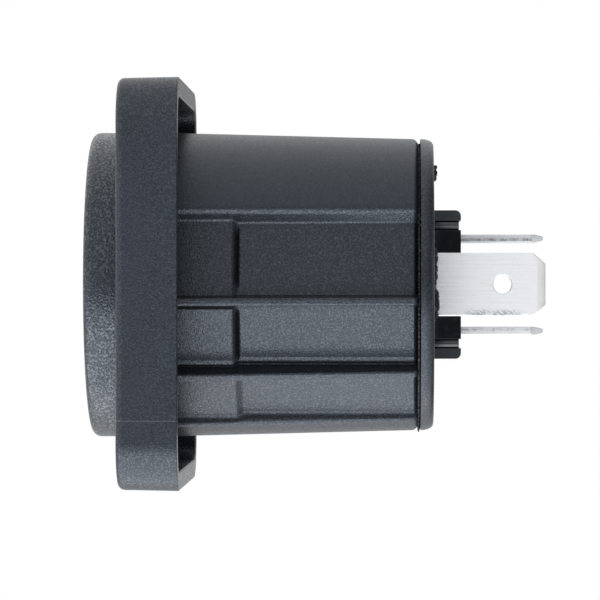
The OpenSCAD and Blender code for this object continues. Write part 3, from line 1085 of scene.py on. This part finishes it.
@dataclass
class Barrel:
    """Tapered barrel with sunk panels, ribs, a spigot and a cup."""

    panel_plane_r: float = 15.35
    rear_r: float = 14.75
    length: float = 23.4
    chamfer: float = 0.35
    rear_edge: tuple[Flat, ...] = (
        (0.0, 0.45), (0.08, 0.32), (0.18, 0.2), (0.3, 0.09), (0.4, 0.03), (0.52, 0.0),
    )
    spigot_r: float = 14.1
    cup_r: float = 11.7
    ledge_x: float = 9.6
    ledge_t: float = 1.0
    ledge_r: float = 11.0
    ledge_edge: float = 0.08
    shoulder_x: float = -4.0
    spigot_x: float = -8.53
    edge: float = 0.1
    panel_x: float = -1.5
    pad_x: float = 2.0
    plain_x: Flat = (17.5, 12.0)
    floor_r: float = 13.3
    low_rise: float = 0.7
    wall_reach: float = 2.0
    pad_rise: float = 0.45
    pad_step: float = 0.5
    pad_fade: float = 1.0
    pad_gap: float = 0.42
    groove_x: float = 5.1
    groove_depth: float = 0.46
    groove_faint: float = 0.05
    groove: tuple[Flat, ...] = (
        (-0.4, 0.0), (-0.25, 0.0), (-0.15, 0.03), (-0.05, 0.08), (0.05, 0.18), (0.15, 0.32), (0.25, 0.54),
        (0.35, 0.8), (0.42, 1.0), (0.48, 0.7), (0.54, 0.36), (0.61, 0.14), (0.7, 0.04), (0.8, 0.0),
        (0.92, 0.0), (1.06, 0.0),
    )
    top_angle: float = -27.6
    step_z: float = 7.21
    step_rise: float = 0.012
    bottom_angle: float = 66.8
    upper_rib: float = 6.8
    lower_rib: float = 37.8
    rib: float = 3.4
    step_lean: float = 0.4
    rib_lean: float = 0.28
    low_rib_lean: float = 1.1
    cove: float = 0.3
    cove_back: float = 1.15
    lip_back: float = 0.6
    trench: float = 0.3
    nook_share: float = 0.4
    step_r: float = 1.05
    step_foot_r: float = 0.45
    rib_foot_r: float = 0.3
    rib_edge_r: float = 0.22
    rib_under_r: float = 0.32
    nook_r: float = 0.1
    pad_r: float = 0.2
    cove_r: float = 4.0
    lip_r: float = 0.9
    low_foot_r: float = 0.5
    low_edge_r: float = 0.7
    wide: float = 0.8
    lead: float = 1.6
    top_steps: int = 32
    tail_steps: int = 14
    floor_steps: int = 12
    corner_steps: int = 8

    def radius(self, x: float) -> float:
        """Gives the tapered radius at a place along the axis."""
        return self.panel_plane_r - (self.panel_plane_r - self.rear_r) * x / (self.length - self.chamfer)

    def wall(self, outer: float, lean: float, rise: float, radius: float) -> tuple[Flat, Flat]:
        """Finds a panel wall's two corners.

        Args:
            outer: angle of the wall at the rear radius.
            lean: how far the wall leans inwards, in degrees per millimetre.
            rise: how far the foot stands above the deepest floor corner.
            radius: radius of the barrel at this section.

        Returns:
            The outer corner and the foot.
        """
        foot_r = self.floor_r + rise
        far_r = self.radius(self.shoulder_x) + self.wall_reach
        foot = Vector(turn(foot_r, outer + lean * (self.rear_r - foot_r)))
        slope = Vector(turn(far_r, outer + lean * (self.rear_r - far_r))) - foot
        a, b, c = slope.dot(slope), 2 * foot.dot(slope), foot.dot(foot) - radius**2
        share = (-b + math.sqrt(b * b - 4 * a * c)) / (2 * a)
        edge = foot + slope * share
        return (edge.x, edge.y), (foot.x, foot.y)

    def beside(self, outer: float, rise: float, radius: float, far: Flat) -> Flat:
        """Finds the floor's point just below a rib, where the pads stop short of the rib's foot.

        Args:
            outer: angle of the rib's lower wall at the rear radius.
            rise: how far the floor stands above its depth.
            radius: radius of the barrel at this section.
            far: the floor's other end.

        Returns:
            The point.
        """
        foot = Vector(self.wall(outer, self.rib_lean, rise, radius)[1])
        step = foot + (Vector(far) - foot).normalized() * self.pad_gap
        return step.x, step.y

    def corners(self, x: float, rise: float, low_floor: float) -> list[Corner]:
        """Lists the corners of the near half of a section, from the upper step down.

        Args:
            x: place along the axis.
            rise: how far the upper and middle floors stand above their depth.
            low_floor: how far the lowest floor stands above its depth.

        Returns:
            The corners, always the same number.
        """
        radius, half = self.radius(x), self.rib / 2
        upper_top, upper_low = self.upper_rib - half, self.upper_rib + half
        lower_top, lower_low = self.lower_rib - half, self.lower_rib + half
        height = self.step_z + self.step_rise * x
        step_edge = (-math.sqrt(radius**2 - height**2), height)
        step_foot = self.wall(self.top_angle, self.step_lean, rise, radius)[1]
        upper_edge, upper_foot = self.wall(upper_top, -self.rib_lean, rise, radius)
        upper_under, upper_nook = self.wall(upper_low, self.rib_lean, rise * self.nook_share, radius)
        lip_end = self.wall(lower_top, -self.low_rib_lean, rise + self.cove, radius)[1]
        lower_edge, trench = self.wall(lower_top, 0.0, rise + self.cove - self.trench, radius)
        lower_under, lower_nook = self.wall(lower_low, self.rib_lean, low_floor * self.nook_share, radius)
        low_edge, low_foot = self.wall(self.bottom_angle, -self.rib_lean, low_floor + self.low_rise, radius)
        deep = Vector(self.wall(lower_top, -self.low_rib_lean, rise, radius)[1])
        along = (deep - Vector(upper_nook)).normalized()
        cove = tuple(deep - along * self.cove_back)
        lip = tuple(Vector(lip_end) - along * self.lip_back)
        return [
            Corner(step_edge, self.step_r),
            Corner(step_foot, self.step_foot_r),
            Corner(upper_foot, self.rib_foot_r, floor=1.0),
            Corner(upper_edge, self.rib_edge_r),
            Corner(upper_under, self.rib_under_r),
            Corner(upper_nook, self.nook_r),
            Corner(self.beside(upper_low, rise, radius, lip_end), self.pad_r),
            Corner(cove, self.cove_r, self.wide, floor=1.0, sunk=1.0),
            Corner(lip, self.pad_r, sunk=1.0),
            Corner(lip_end, self.lip_r, self.wide),
            Corner(trench, self.nook_r),
            Corner(lower_edge, self.rib_edge_r),
            Corner(lower_under, self.rib_under_r),
            Corner(lower_nook, self.nook_r),
            Corner(self.beside(lower_low, low_floor, radius, low_foot), self.pad_r),
            Corner(low_foot, self.low_foot_r, floor=self.groove_faint),
            Corner(low_edge, self.low_edge_r),
        ]

    def side(self, x: float, rise: float, sink: float, low_floor: float) -> list[Flat]:
        """Draws the near half of a section, from the top round to the bottom.

        Args:
            x: place along the axis.
            rise: how far the upper and middle floors stand above their depth.
            sink: depth of the cross groove.
            low_floor: how far the lowest floor stands above its depth.

        Returns:
            Points of the half section, always the same number.
        """
        radius = self.radius(x)
        corners = self.corners(x, rise, low_floor)
        first, last = (math.degrees(math.atan2(-z, -y)) for y, z in (corners[0].point, corners[-1].point))
        lead = math.degrees(self.lead / radius)
        steps = range(self.top_steps + 1)
        points = [turn(radius, -90 + (first - lead + 90) * n / self.top_steps) for n in steps]
        steps = range(self.tail_steps + 1)
        tail = [turn(radius, last + lead + (90 - last - lead) * n / self.tail_steps) for n in steps]
        path = [points[-1], *[corner.point for corner in corners], tail[0]]
        for corner, before, after in zip(corners, path[:-2], path[2:], strict=True):
            curve = rounded(before, corner.point, after, corner.radius, self.corner_steps, corner.most)
            if corner.floor is not None:
                floor = between(points[-1], curve[0], self.floor_steps)
                points += [self.sunk(point, sink * corner.floor) for point in floor[:-1]]
                points.append(self.sunk(floor[-1], sink * corner.sunk))
            points += [self.sunk(point, sink * corner.sunk) for point in curve]
        return points + tail

    @staticmethod
    def sunk(point: Flat, depth: float) -> Flat:
        """Moves a point towards the axis by a depth."""
        share = 1.0 - depth / math.hypot(*point)
        return point[0] * share, point[1] * share

    def eased(self, x: float) -> float:
        """Gives the share of the lowest pad's height at a place beside the cross groove."""
        share = min(1.0, max(0.0, (self.pad_fade - x) / self.pad_fade))
        return share * share * (3.0 - 2.0 * share)

    def section(self, x: float, rise: float, sink: float = 0.0, low: float | None = None) -> list[Place]:
        """Draws a whole section, near side down and far side up.

        Args:
            x: place along the axis.
            rise: how far the floors stand above their depth.
            sink: depth of the cross groove.
            low: how far the lowest floor stands above its depth, the same if left out.

        Returns:
            The section's points.
        """
        near = self.side(x, rise, sink, rise if low is None else low)
        return [(x, y, z) for y, z in near] + [(x, -y, z) for y, z in reversed(near[1:-1])]

    def build(self) -> Piece:
        """Builds the barrel.

        Returns:
            The barrel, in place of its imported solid.
        """
        angles = [math.atan2(z, y) for _, y, z in self.section(self.length, 0.0)]
        loops = [circle(self.length, self.cup_r, angles)]
        for back, inset in self.rear_edge:
            section = self.section(self.length - back, 0.0)
            loops.append([(x, *self.sunk((y, z), inset)) for x, y, z in section])
        loops += [self.section(x, 0.0) for x in self.plain_x]
        for x, share in reversed(self.groove):
            rise = self.pad_rise * min(1.0, max(0.0, 1.0 - x / self.pad_step))
            low = self.pad_rise * self.eased(x)
            loops.append(self.section(self.groove_x + x, rise, self.groove_depth * share, low))
        loops += [self.section(x, self.pad_rise) for x in (self.pad_x, self.panel_x + self.edge)]
        shoulder_r, ledge = self.radius(self.shoulder_x), self.ledge_x - self.ledge_t
        profile = [
            (self.panel_x, self.radius(self.panel_x)),
            (self.shoulder_x + self.edge, shoulder_r),
            (self.shoulder_x, shoulder_r - self.edge),
            (self.shoulder_x, self.spigot_r),
            (self.spigot_x + self.edge, self.spigot_r),
            (self.spigot_x, self.spigot_r - self.edge),
            (self.spigot_x, self.cup_r + self.edge),
            (self.spigot_x + self.edge, self.cup_r),
            (ledge, self.cup_r),
            (ledge, self.ledge_r + self.ledge_edge),
            (ledge + self.ledge_edge, self.ledge_r),
            (self.ledge_x, self.ledge_r),
            (self.ledge_x, self.cup_r),
        ]
        obj = Bench.ring("barrel", loops + [circle(x, radius, angles) for x, radius in profile])
        Bench.smooth(obj)
        return settle(obj, BARREL_SKIN, "inlet_barrel")


@dataclass
class Front:
    """Square flange and round nose ring."""

    half: float = 20.25
    corner_r: float = 4.8
    corner_steps: int = 18
    side_points: int = 9
    thick: float = 6.0
    front_t: float = 2.0
    wall: float = 1.85
    edge_r: float = 0.7
    edge_steps: int = 6
    draft: float = 0.1
    rim_round: tuple[Flat, ...] = ((-0.14, 0.0), (-0.04, 0.04), (0.0, 0.14))
    rim_edge: float = 0.12
    floor_round: tuple[Flat, ...] = ((0.25, 0.08), (0.07, 0.14), (0.0, 0.32))
    bore_r: float = 14.15
    hole_pitch: float = 30.0
    hole_r: float = 1.9
    hole_lead: float = 0.3
    hole_past: float = 1.0
    lead_past: float = 0.2
    boss_r: float = 3.6
    boss_x: float = -2.2
    boss_root: float = 0.5
    nose_r: float = 15.4
    nose_h: float = 3.53
    nose_edge_r: float = 0.9
    nose_edge_steps: int = 8
    nose_sides: int = 192
    nick: float = 0.06
    lip_t: float = 1.0
    mouth_r: float = 11.7
    mouth_chamfer: float = 0.5

    def outline(self, x: float, inset: float) -> list[Place]:
        """Draws the flange's rounded square.

        Args:
            x: place along the axis.
            inset: how far the square is drawn in.

        Returns:
            Its points, always the same number.
        """
        centre = self.half - self.corner_r
        radius = self.corner_r - inset
        points: list[Flat] = []
        for quadrant, (side_y, side_z) in enumerate(((1, 1), (-1, 1), (-1, -1), (1, -1))):
            steps = range(self.corner_steps + 1)
            angles = [math.radians(90 * quadrant + 90 * k / self.corner_steps) for k in steps]
            cy, cz = centre * side_y, centre * side_z
            arc = [(cy + radius * math.cos(angle), cz + radius * math.sin(angle)) for angle in angles]
            if points:
                points += between(points[-1], arc[0], self.side_points)
            points += arc
        points += between(points[-1], points[0], self.side_points)
        return [(x, y, z) for y, z in points]

    def flange(self) -> Piece:
        """Builds the flange.

        Returns:
            The flange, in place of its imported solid.
        """
        angles = [math.atan2(z, y) for _, y, z in self.outline(0.0, 0.0)]
        front = -self.thick
        floor = front + self.front_t
        loops = [circle(front, self.bore_r, angles)]
        for out, back in quarter(self.edge_r, self.edge_steps):
            loops.append(self.outline(front + self.edge_r - back, self.draft + self.edge_r - out))
        loops += [self.outline(x, inset) for x, inset in self.rim_round]
        loops.append(self.outline(0.0, self.wall - self.rim_edge))
        loops.append(self.outline(-self.rim_edge, self.wall))
        loops += [self.outline(floor + x, self.wall + inset) for x, inset in self.floor_round]
        loops.append(circle(floor, self.bore_r, angles))
        obj = Bench.ring("flange", loops)
        spots = [(sy * self.hole_pitch / 2, sz * self.hole_pitch / 2) for sy in (-1, 1) for sz in (-1, 1)]
        boss_h = self.boss_x - floor + self.boss_root
        bosses = [Bench.rod("boss", (floor - self.boss_root, *spot), boss_h, self.boss_r) for spot in spots]
        Bench.cut(obj, bosses, Cut.JOIN)
        deep = self.thick + self.hole_past
        drills = [Bench.rod("drill", (front - self.hole_past, *spot), deep, self.hole_r) for spot in spots]
        Bench.cut(obj, drills, Cut.AWAY)
        lead = self.hole_lead + self.lead_past
        begin, wide = front - self.lead_past, self.hole_r + self.hole_lead + self.lead_past
        leads = [Bench.rod("lead", (begin, *spot), lead, wide, self.hole_r) for spot in spots]
        Bench.cut(obj, leads, Cut.AWAY)
        Bench.outwards(obj, Bench.CUT_WELD)
        Bench.smooth(obj)
        return settle(obj, FLANGE_SKIN, "mounting_flange")

    def nose(self) -> Piece:
        """Builds the nose ring.

        Returns:
            The nose ring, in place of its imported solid.
        """
        front = -self.thick - self.nose_h
        lip = front + self.lip_t
        mouth = self.mouth_r + self.mouth_chamfer
        profile = [(front + self.nick, mouth - self.nick), (front, mouth + 2 * self.nick)]
        for out, back in quarter(self.nose_edge_r, self.nose_edge_steps):
            profile.append((front + self.nose_edge_r - back, self.nose_r - self.nose_edge_r + out))
        profile += [
            (-self.thick - self.nick, self.nose_r),
            (-self.thick, self.nose_r - self.nick),
            (-self.thick, self.bore_r),
            (lip, self.bore_r),
            (lip, self.mouth_r),
            (front + self.mouth_chamfer + self.nick, self.mouth_r),
        ]
        angles = [2 * math.pi * n / self.nose_sides for n in range(self.nose_sides)]
        obj = Bench.ring("nose", [circle(x, radius, angles) for x, radius in profile])
        Bench.smooth(obj)
        return settle(obj, NOSE_SKIN, "nose_ring")


@dataclass
class RearClosure:
    """Rear cap, the seam's bead and the sealant lumps.

    The lumps are balls, each with its middle, measured along X from the cap's rear face, and its
    half sizes.
    """

    cap_r: float = 14.75
    cap_sides: int = 192
    seam_x: float = 23.4
    cap_x: float = 23.63
    cap_t: float = 1.33
    edge_r: float = 1.0
    edge_steps: int = 12
    rim: float = 0.1
    rim_steps: int = 2
    crown_x: float = 0.15
    crown_r: float = 1.9
    crown_turn: float = 26.0
    disc_r: float = 11.0
    disc_root: float = 0.4
    window_y: Flat = (-2.1, 8.8)
    window_z: Flat = (3.1, 7.6)
    slot_y: Flat = (-5.5, -4.5)
    slot_z: float = 3.25
    past: float = 1.0
    near: float = 0.01
    hair: float = 0.001
    bead_r: float = 14.1
    bead_in_r: float = 12.6
    bead_sides: int = 720
    bead_steps: int = 9
    bead_angle: float = 60.0
    lump_grid: float = 0.055
    lump_angle: float = 70.0
    foot_tear: float = 0.07
    foot_count: int = 9
    foot_z: float = 3.1
    foot_rows: tuple[tuple[float, Place], ...] = ((-5.7, (0.42, 0.75, 0.6)), (-4.3, (0.4, 0.7, 0.6)))
    foot_back: float = 0.05
    foot_lumps: tuple[tuple[Place, Place], ...] = (
        ((0.1, -5.8, -2.0), (0.52, 0.62, 1.0)),
        ((0.1, -5.7, -1.1), (0.45, 0.5, 0.6)),
        ((0.0, -5.7, 2.6), (0.42, 0.5, 0.55)),
    )
    crumb_tear: float = 0.08
    crumb_lumps: tuple[tuple[Place, Place], ...] = (
        ((-0.02, -5.2, 11.6), (0.3, 0.4, 0.32)),
        ((0.08, -5.0, 11.1), (0.3, 0.45, 0.34)),
        ((0.0, -4.9, 10.6), (0.3, 0.4, 0.3)),
        ((0.2, -5.1, 11.75), (0.16, 0.2, 0.2)),
    )

    @property
    def rear(self) -> float:
        """Gives the place of the cap's rear face."""
        return self.cap_x + self.cap_t

    def cap(self) -> Piece:
        """Builds the rear cap with its windows and its slot.

        Returns:
            The cap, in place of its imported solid.
        """
        Bench.clear()
        bpy.ops.mesh.primitive_cylinder_add(
            vertices=self.cap_sides,
            radius=self.cap_r * MM,
            depth=self.cap_t * MM,
            location=((self.cap_x + self.cap_t / 2) * MM, 0.0, 0.0),
            rotation=(0.0, math.pi / 2, 0.0),
        )
        obj = Bench.named("cap")
        Bench.pick_edges(obj, lambda p, q: min(p.x, q.x) > self.rear - self.near)
        bpy.ops.mesh.bevel(
            offset=self.edge_r * MM, offset_type="OFFSET", segments=self.edge_steps, profile=0.5
        )
        Bench.pick_edges(obj, lambda p, q: max(p.x, q.x) < self.cap_x + self.near)
        bpy.ops.mesh.bevel(offset=self.rim * MM, offset_type="OFFSET", segments=self.rim_steps, profile=0.5)
        Bench.clear()
        for vertex in obj.data.vertices:
            x, reach = vertex.co.x / MM, math.hypot(vertex.co.y, vertex.co.z) / MM
            back, out = x - self.rear + self.edge_r, reach - self.cap_r + self.edge_r
            if back > -self.hair and out > -self.hair:
                x, radius = self.crowned(math.atan2(back, out))
                y, z = (part * radius / reach / MM for part in (vertex.co.y, vertex.co.z))
                vertex.co = Vector((x, y, z)) * MM
        disc_t = self.cap_x - self.seam_x + self.disc_root
        Bench.cut(obj, [Bench.rod("disc", (self.seam_x, 0.0, 0.0), disc_t, self.disc_r)], Cut.JOIN)
        start, end = self.seam_x - self.past, self.rear + self.past
        tools = []
        for side in (-1, 1):
            low, high = sorted(side * z for z in self.window_z)
            tools.append(Bench.box("window", (start, self.window_y[0], low), (end, self.window_y[1], high)))
        near_y, far_y = self.slot_y
        tools.append(Bench.box("slot", (start, near_y, -self.slot_z), (end, far_y, self.slot_z)))
        Bench.cut(obj, tools, Cut.AWAY)
        Bench.outwards(obj, Bench.CUT_WELD)
        Bench.smooth(obj)
        return settle(obj, CAP_SKIN, "rear_cap")

    def crowned(self, turned: float) -> Flat:
        """Finds a point of the cap's side, a shallow crown that runs into a tight round.

        Args:
            turned: direction in which the side faces there, in radians from the rim to the rear.

        Returns:
            Its place along the axis and its radius.
        """
        start = self.cap_x + self.crown_x
        crown = math.radians(self.crown_turn)
        first = min(turned, crown)
        x = start + self.crown_r * math.sin(first)
        radius = self.cap_r - self.crown_r * (1.0 - math.cos(first))
        tight = (self.rear - start - self.crown_r * math.sin(crown)) / (1.0 - math.sin(crown))
        x += tight * (math.sin(turned) - math.sin(first))
        radius -= tight * (math.cos(first) - math.cos(turned))
        return x, radius

    def bead(self) -> Piece:
        """Builds the ragged bead that squeezed out of the seam.

        Returns:
            The bead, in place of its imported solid.
        """
        angles = [2 * math.pi * n / self.bead_sides for n in range(self.bead_sides)]
        shares = [k / (self.bead_steps - 1) for k in range(self.bead_steps)]
        loops = [[self.squeezed(angle, share) for angle in angles] for share in shares]
        loops += [circle(x, self.bead_in_r, angles) for x in (self.cap_x, self.seam_x)]
        obj = Bench.ring("seam_bead", loops)
        Bench.smooth(obj, self.bead_angle)
        return settle(obj, SEALANT_SKIN, "cap_seal_bead")

    def squeezed(self, angle: float, share: float) -> Place:
        """Finds a point of the bead's ragged outside, with a spike at the lowest place.

        Args:
            angle: angle around the barrel axis, in radians.
            share: how far across the seam the point lies, from the barrel to the cap.

        Returns:
            The point.
        """
        lap = Vector((math.cos(angle), math.sin(angle), 0.0))
        slow = noise.noise(lap * 9.0)
        quick = noise.noise(lap * 70.0 + Vector((0.0, 0.0, 3.1)))
        other = noise.noise(lap * 95.0 + Vector((2.0, 0.0, 7.7)))
        spike = max(0.0, -math.sin(angle)) ** 60
        crest = math.sin(math.pi * min(1.0, share * 0.75 + 0.2))
        fleck = max(0.0, quick - 0.2) * max(0.0, other + 0.15)
        x = self.seam_x - 0.05 + (self.cap_x - self.seam_x + 0.07) * share
        x += (0.06 * other + 0.35 * fleck) * crest
        radius = self.bead_r + 0.05 * slow + crest * (0.1 + 0.14 * quick) + share * 2.4 * fleck
        radius += spike * 0.75 * crest * (0.6 + 0.6 * quick)
        return x, radius * math.cos(angle), radius * math.sin(angle)

    def lumps(self, name: str, spots: Iterable[tuple[Place, Place]], tear: float) -> Piece:
        """Builds a ragged mass from overlapping balls on the cap's rear face.

        Args:
            name: name of the piece.
            spots: middle and half sizes of each ball.
            tear: how far the skin is torn.

        Returns:
            The mass as one closed mesh.
        """
        balls = []
        for (x, y, z), half in spots:
            Bench.clear()
            bpy.ops.mesh.primitive_ico_sphere_add(
                subdivisions=3, radius=1.0, location=mm(self.rear + x, y, z), scale=mm(*half)
            )
            balls.append(Bench.named(name))
        Bench.take(balls[0])
        for ball in balls[1:]:
            ball.select_set(True)
        bpy.ops.object.join()
        obj = Bench.named(name)
        Bench.modify(obj, "REMESH", mode="VOXEL", voxel_size=self.lump_grid * MM)
        ways = [vertex.normal.copy() for vertex in obj.data.vertices]
        for vertex, way in zip(obj.data.vertices, ways, strict=True):
            torn = noise.noise(vertex.co / MM * 2.3) + 0.6 * noise.noise(vertex.co / MM * 6.0)
            vertex.co += way * torn * tear * MM
        Bench.outwards(obj)
        Bench.smooth(obj, self.lump_angle)
        return obj

    def sealant(self) -> list[Piece]:
        """Builds the lumps at the ground tab's foot and the crumb on the cap.

        Returns:
            Both pieces.
        """
        spots = []
        for n in range(self.foot_count):
            z = -self.foot_z + 2 * self.foot_z * n / (self.foot_count - 1)
            swell = 1.0 + 0.35 * noise.noise(Vector((z * 1.3, 0.4, 2.0)))
            for y, (high, wide, long) in self.foot_rows:
                spots.append(((-self.foot_back, y, z), (high * swell, wide, long)))
        foot = self.lumps("tab_foot_sealant", [*spots, *self.foot_lumps], self.foot_tear)
        crumb = self.lumps("sealant_crumb", self.crumb_lumps, self.crumb_tear)
        return [settle(foot, SEALANT_SKIN, "ground_tab_sealant"), settle(crumb, SEALANT_SKIN)]


@dataclass
class Contacts:
    """Terminal block, insert, prongs, tabs and the small parts that join them."""

    small_edge: float = 0.07
    prong_edge: float = 0.12
    block_edge: float = 0.14
    tab_edge: float = 0.2
    tab_crease: float = 15.0
    lip_x: float = 24.9
    lip_l: float = 2.6
    lip_r: float = 0.46
    lips: tuple[Flat, ...] = ((-1.62, 5.97), (-1.62, -5.97))

    def shaped(self, node: str, finish: Finish, edge: float, steps: int = 2, crease: float = 40.0) -> Piece:
        """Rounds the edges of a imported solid's copy and dresses it.

        Args:
            node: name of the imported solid.
            finish: the piece's finish.
            edge: width of the rounding.
            steps: number of pieces in the rounding.
            crease: angle above which an edge stays sharp.

        Returns:
            The piece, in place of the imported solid.
        """
        obj = Bench.merged(node)
        if node == "terminal_block":
            tools = [Bench.rod("lip", (self.lip_x, *spot), self.lip_l, self.lip_r) for spot in self.lips]
            Bench.cut(obj, tools, Cut.JOIN)
        Bench.soften(obj, edge, steps)
        Bench.smooth(obj, crease)
        return settle(obj, finish, node)

    def build(self) -> list[Piece]:
        """Builds every contact piece.

        Returns:
            The pieces.
        """
        made = [
            self.shaped("line_tab", LINE_SKIN, self.tab_edge, 4, self.tab_crease),
            self.shaped("neutral_tab", NEUTRAL_SKIN, self.tab_edge, 4, self.tab_crease),
            self.shaped("ground_tab", TAB_SKIN, self.prong_edge, 3, self.tab_crease),
        ]
        prongs = ("line_blade", "neutral_blade", "ground_pin")
        made += [self.shaped(node, BRASS_SKIN, self.prong_edge) for node in prongs]
        made += [self.shaped(node, BRASS_SKIN, self.small_edge) for node in ("line_rivet", "neutral_rivet")]
        made.append(self.shaped("ground_washer", TAB_SKIN, self.small_edge))
        made.append(self.shaped("terminal_block", BLOCK_SKIN, self.block_edge, 3))
        made.append(self.shaped("blade_insert", INSERT_SKIN, self.prong_edge))
        made.append(self.shaped("insert_gasket", GASKET_SKIN, self.small_edge))
        return made


# Picture


@dataclass
class Studio:
    """Camera and room.

    The levels are the room's brightness at angles around the barrel axis, which start straight behind
    the camera and grow downwards. The room's other ranges are parts of a direction of length one.
    """

    eye: Place = (20.75, -416.0, -1.77)
    target: Place = (11.45, 0.0, -1.56)
    lens: float = 246.0
    sensor: float = 36.0
    clip: Flat = (0.01, 10.0)
    levels: tuple[Flat, ...] = (
        (-180.0, 0.55), (-170.0, 0.72), (-144.0, 0.92), (-110.0, 1.06), (-78.0, 1.1), (-50.0, 1.06),
        (-15.0, 0.92), (0.0, 0.86), (12.0, 0.8), (18.0, 1.05), (25.0, 3.2), (42.0, 3.5), (60.0, 3.0),
        (106.0, 2.9), (126.0, 1.15), (142.0, 0.68), (165.0, 0.62), (174.0, 0.8), (180.0, 1.05),
    )
    ends: Flat = (0.8, 0.98)
    right: float = 0.3
    right_dim: Flat = (0.2, 0.7)
    right_end: Flat = (0.9, 0.98)
    right_level: float = 0.95
    spot: float = 0.12
    spot_edge: Flat = (0.98, 0.995)

    def camera(self) -> None:
        """Sets the long-lens camera that looks at the near side."""
        data = bpy.data.cameras.new("long_lens")
        data.lens = self.lens
        data.sensor_width = self.sensor
        data.clip_start, data.clip_end = self.clip
        camera = bpy.data.objects.new("long_lens", data)
        bpy.context.scene.collection.objects.link(camera)
        camera.location = Vector(self.eye) * MM
        camera.rotation_euler = (Vector(self.target) - Vector(self.eye)).to_track_quat("-Z", "Y").to_euler()
        bpy.context.scene.camera = camera

    def graded(self, wires: Wiring, lap: Socket) -> Socket:
        """Gives the room's brightness around the barrel axis.

        Args:
            wires: the world's wiring.
            lap: the angle around the axis, in radians.

        Returns:
            The brightness.
        """
        ramp = wires.add("ShaderNodeValToRGB")
        wires.link(wires.math("ADD", wires.math("DIVIDE", lap, 2 * math.pi), 0.5), ramp.inputs["Fac"])
        stops = ramp.color_ramp.elements
        while len(stops) > 1:
            stops.remove(stops[-1])
        top = max(level for _, level in self.levels)
        stops[0].position = 0.0
        for angle, level in self.levels:
            stop = stops.new(angle / 360.0 + 0.5)
            stop.color = (*[level / top] * 3, 1.0)
        stops.remove(stops[0])
        return wires.times(ramp.outputs["Color"], top)

    def world(self) -> None:
        """Lights the piece from a pale room, bright low in front, and shows the camera plain white."""
        world = bpy.data.worlds.new("pale_room")
        bpy.context.scene.world = world
        world.use_nodes = True
        world.node_tree.nodes.clear()
        wires = Wiring(world.node_tree)
        x, y, z = wires.axes(wires.add("ShaderNodeTexCoord").outputs["Generated"])
        forward = wires.times(y, -1.0)
        room = self.graded(wires, wires.math("ARCTAN2", wires.times(z, -1.0), forward))
        ends = wires.span(wires.math("ABSOLUTE", x), self.ends)
        room = wires.math("ADD", wires.times(room, wires.math("SUBTRACT", 1.0, ends)), ends)
        dim = wires.span(x, self.right_dim, (1.0, self.right))
        dim = wires.math("MAXIMUM", dim, wires.span(x, self.right_end, (0.0, self.right_level)))
        spot = wires.span(forward, self.spot_edge, (1.0, self.spot))
        room = wires.times(wires.times(room, dim), spot)
        shown = wires.add("ShaderNodeLightPath").outputs["Is Camera Ray"]
        strength = wires.math("ADD", wires.times(room, wires.math("SUBTRACT", 1.0, shown)), shown)
        light = wires.add("ShaderNodeBackground")
        light.inputs["Color"].default_value = (1.0, 1.0, 1.0, 1.0)
        wires.link(strength, light.inputs["Strength"])
        wires.link(light.outputs["Background"], wires.add("ShaderNodeOutputWorld").inputs["Surface"])

    def build(self) -> None:
        """Sets the view, the camera and the world."""
        bpy.context.scene.view_settings.view_transform = "Standard"
        self.camera()
        self.world()


def main() -> None:
    """Builds the inlet's pieces in order and lights them."""
    logging.basicConfig(level=logging.INFO, format="%(message)s")
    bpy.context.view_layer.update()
    Barrel().build()
    front = Front()
    front.flange()
    front.nose()
    rear = RearClosure()
    rear.cap()
    rear.bead()
    rear.sealant()
    Contacts().build()
    Studio().build()


if __name__ == "__main__":
    main()
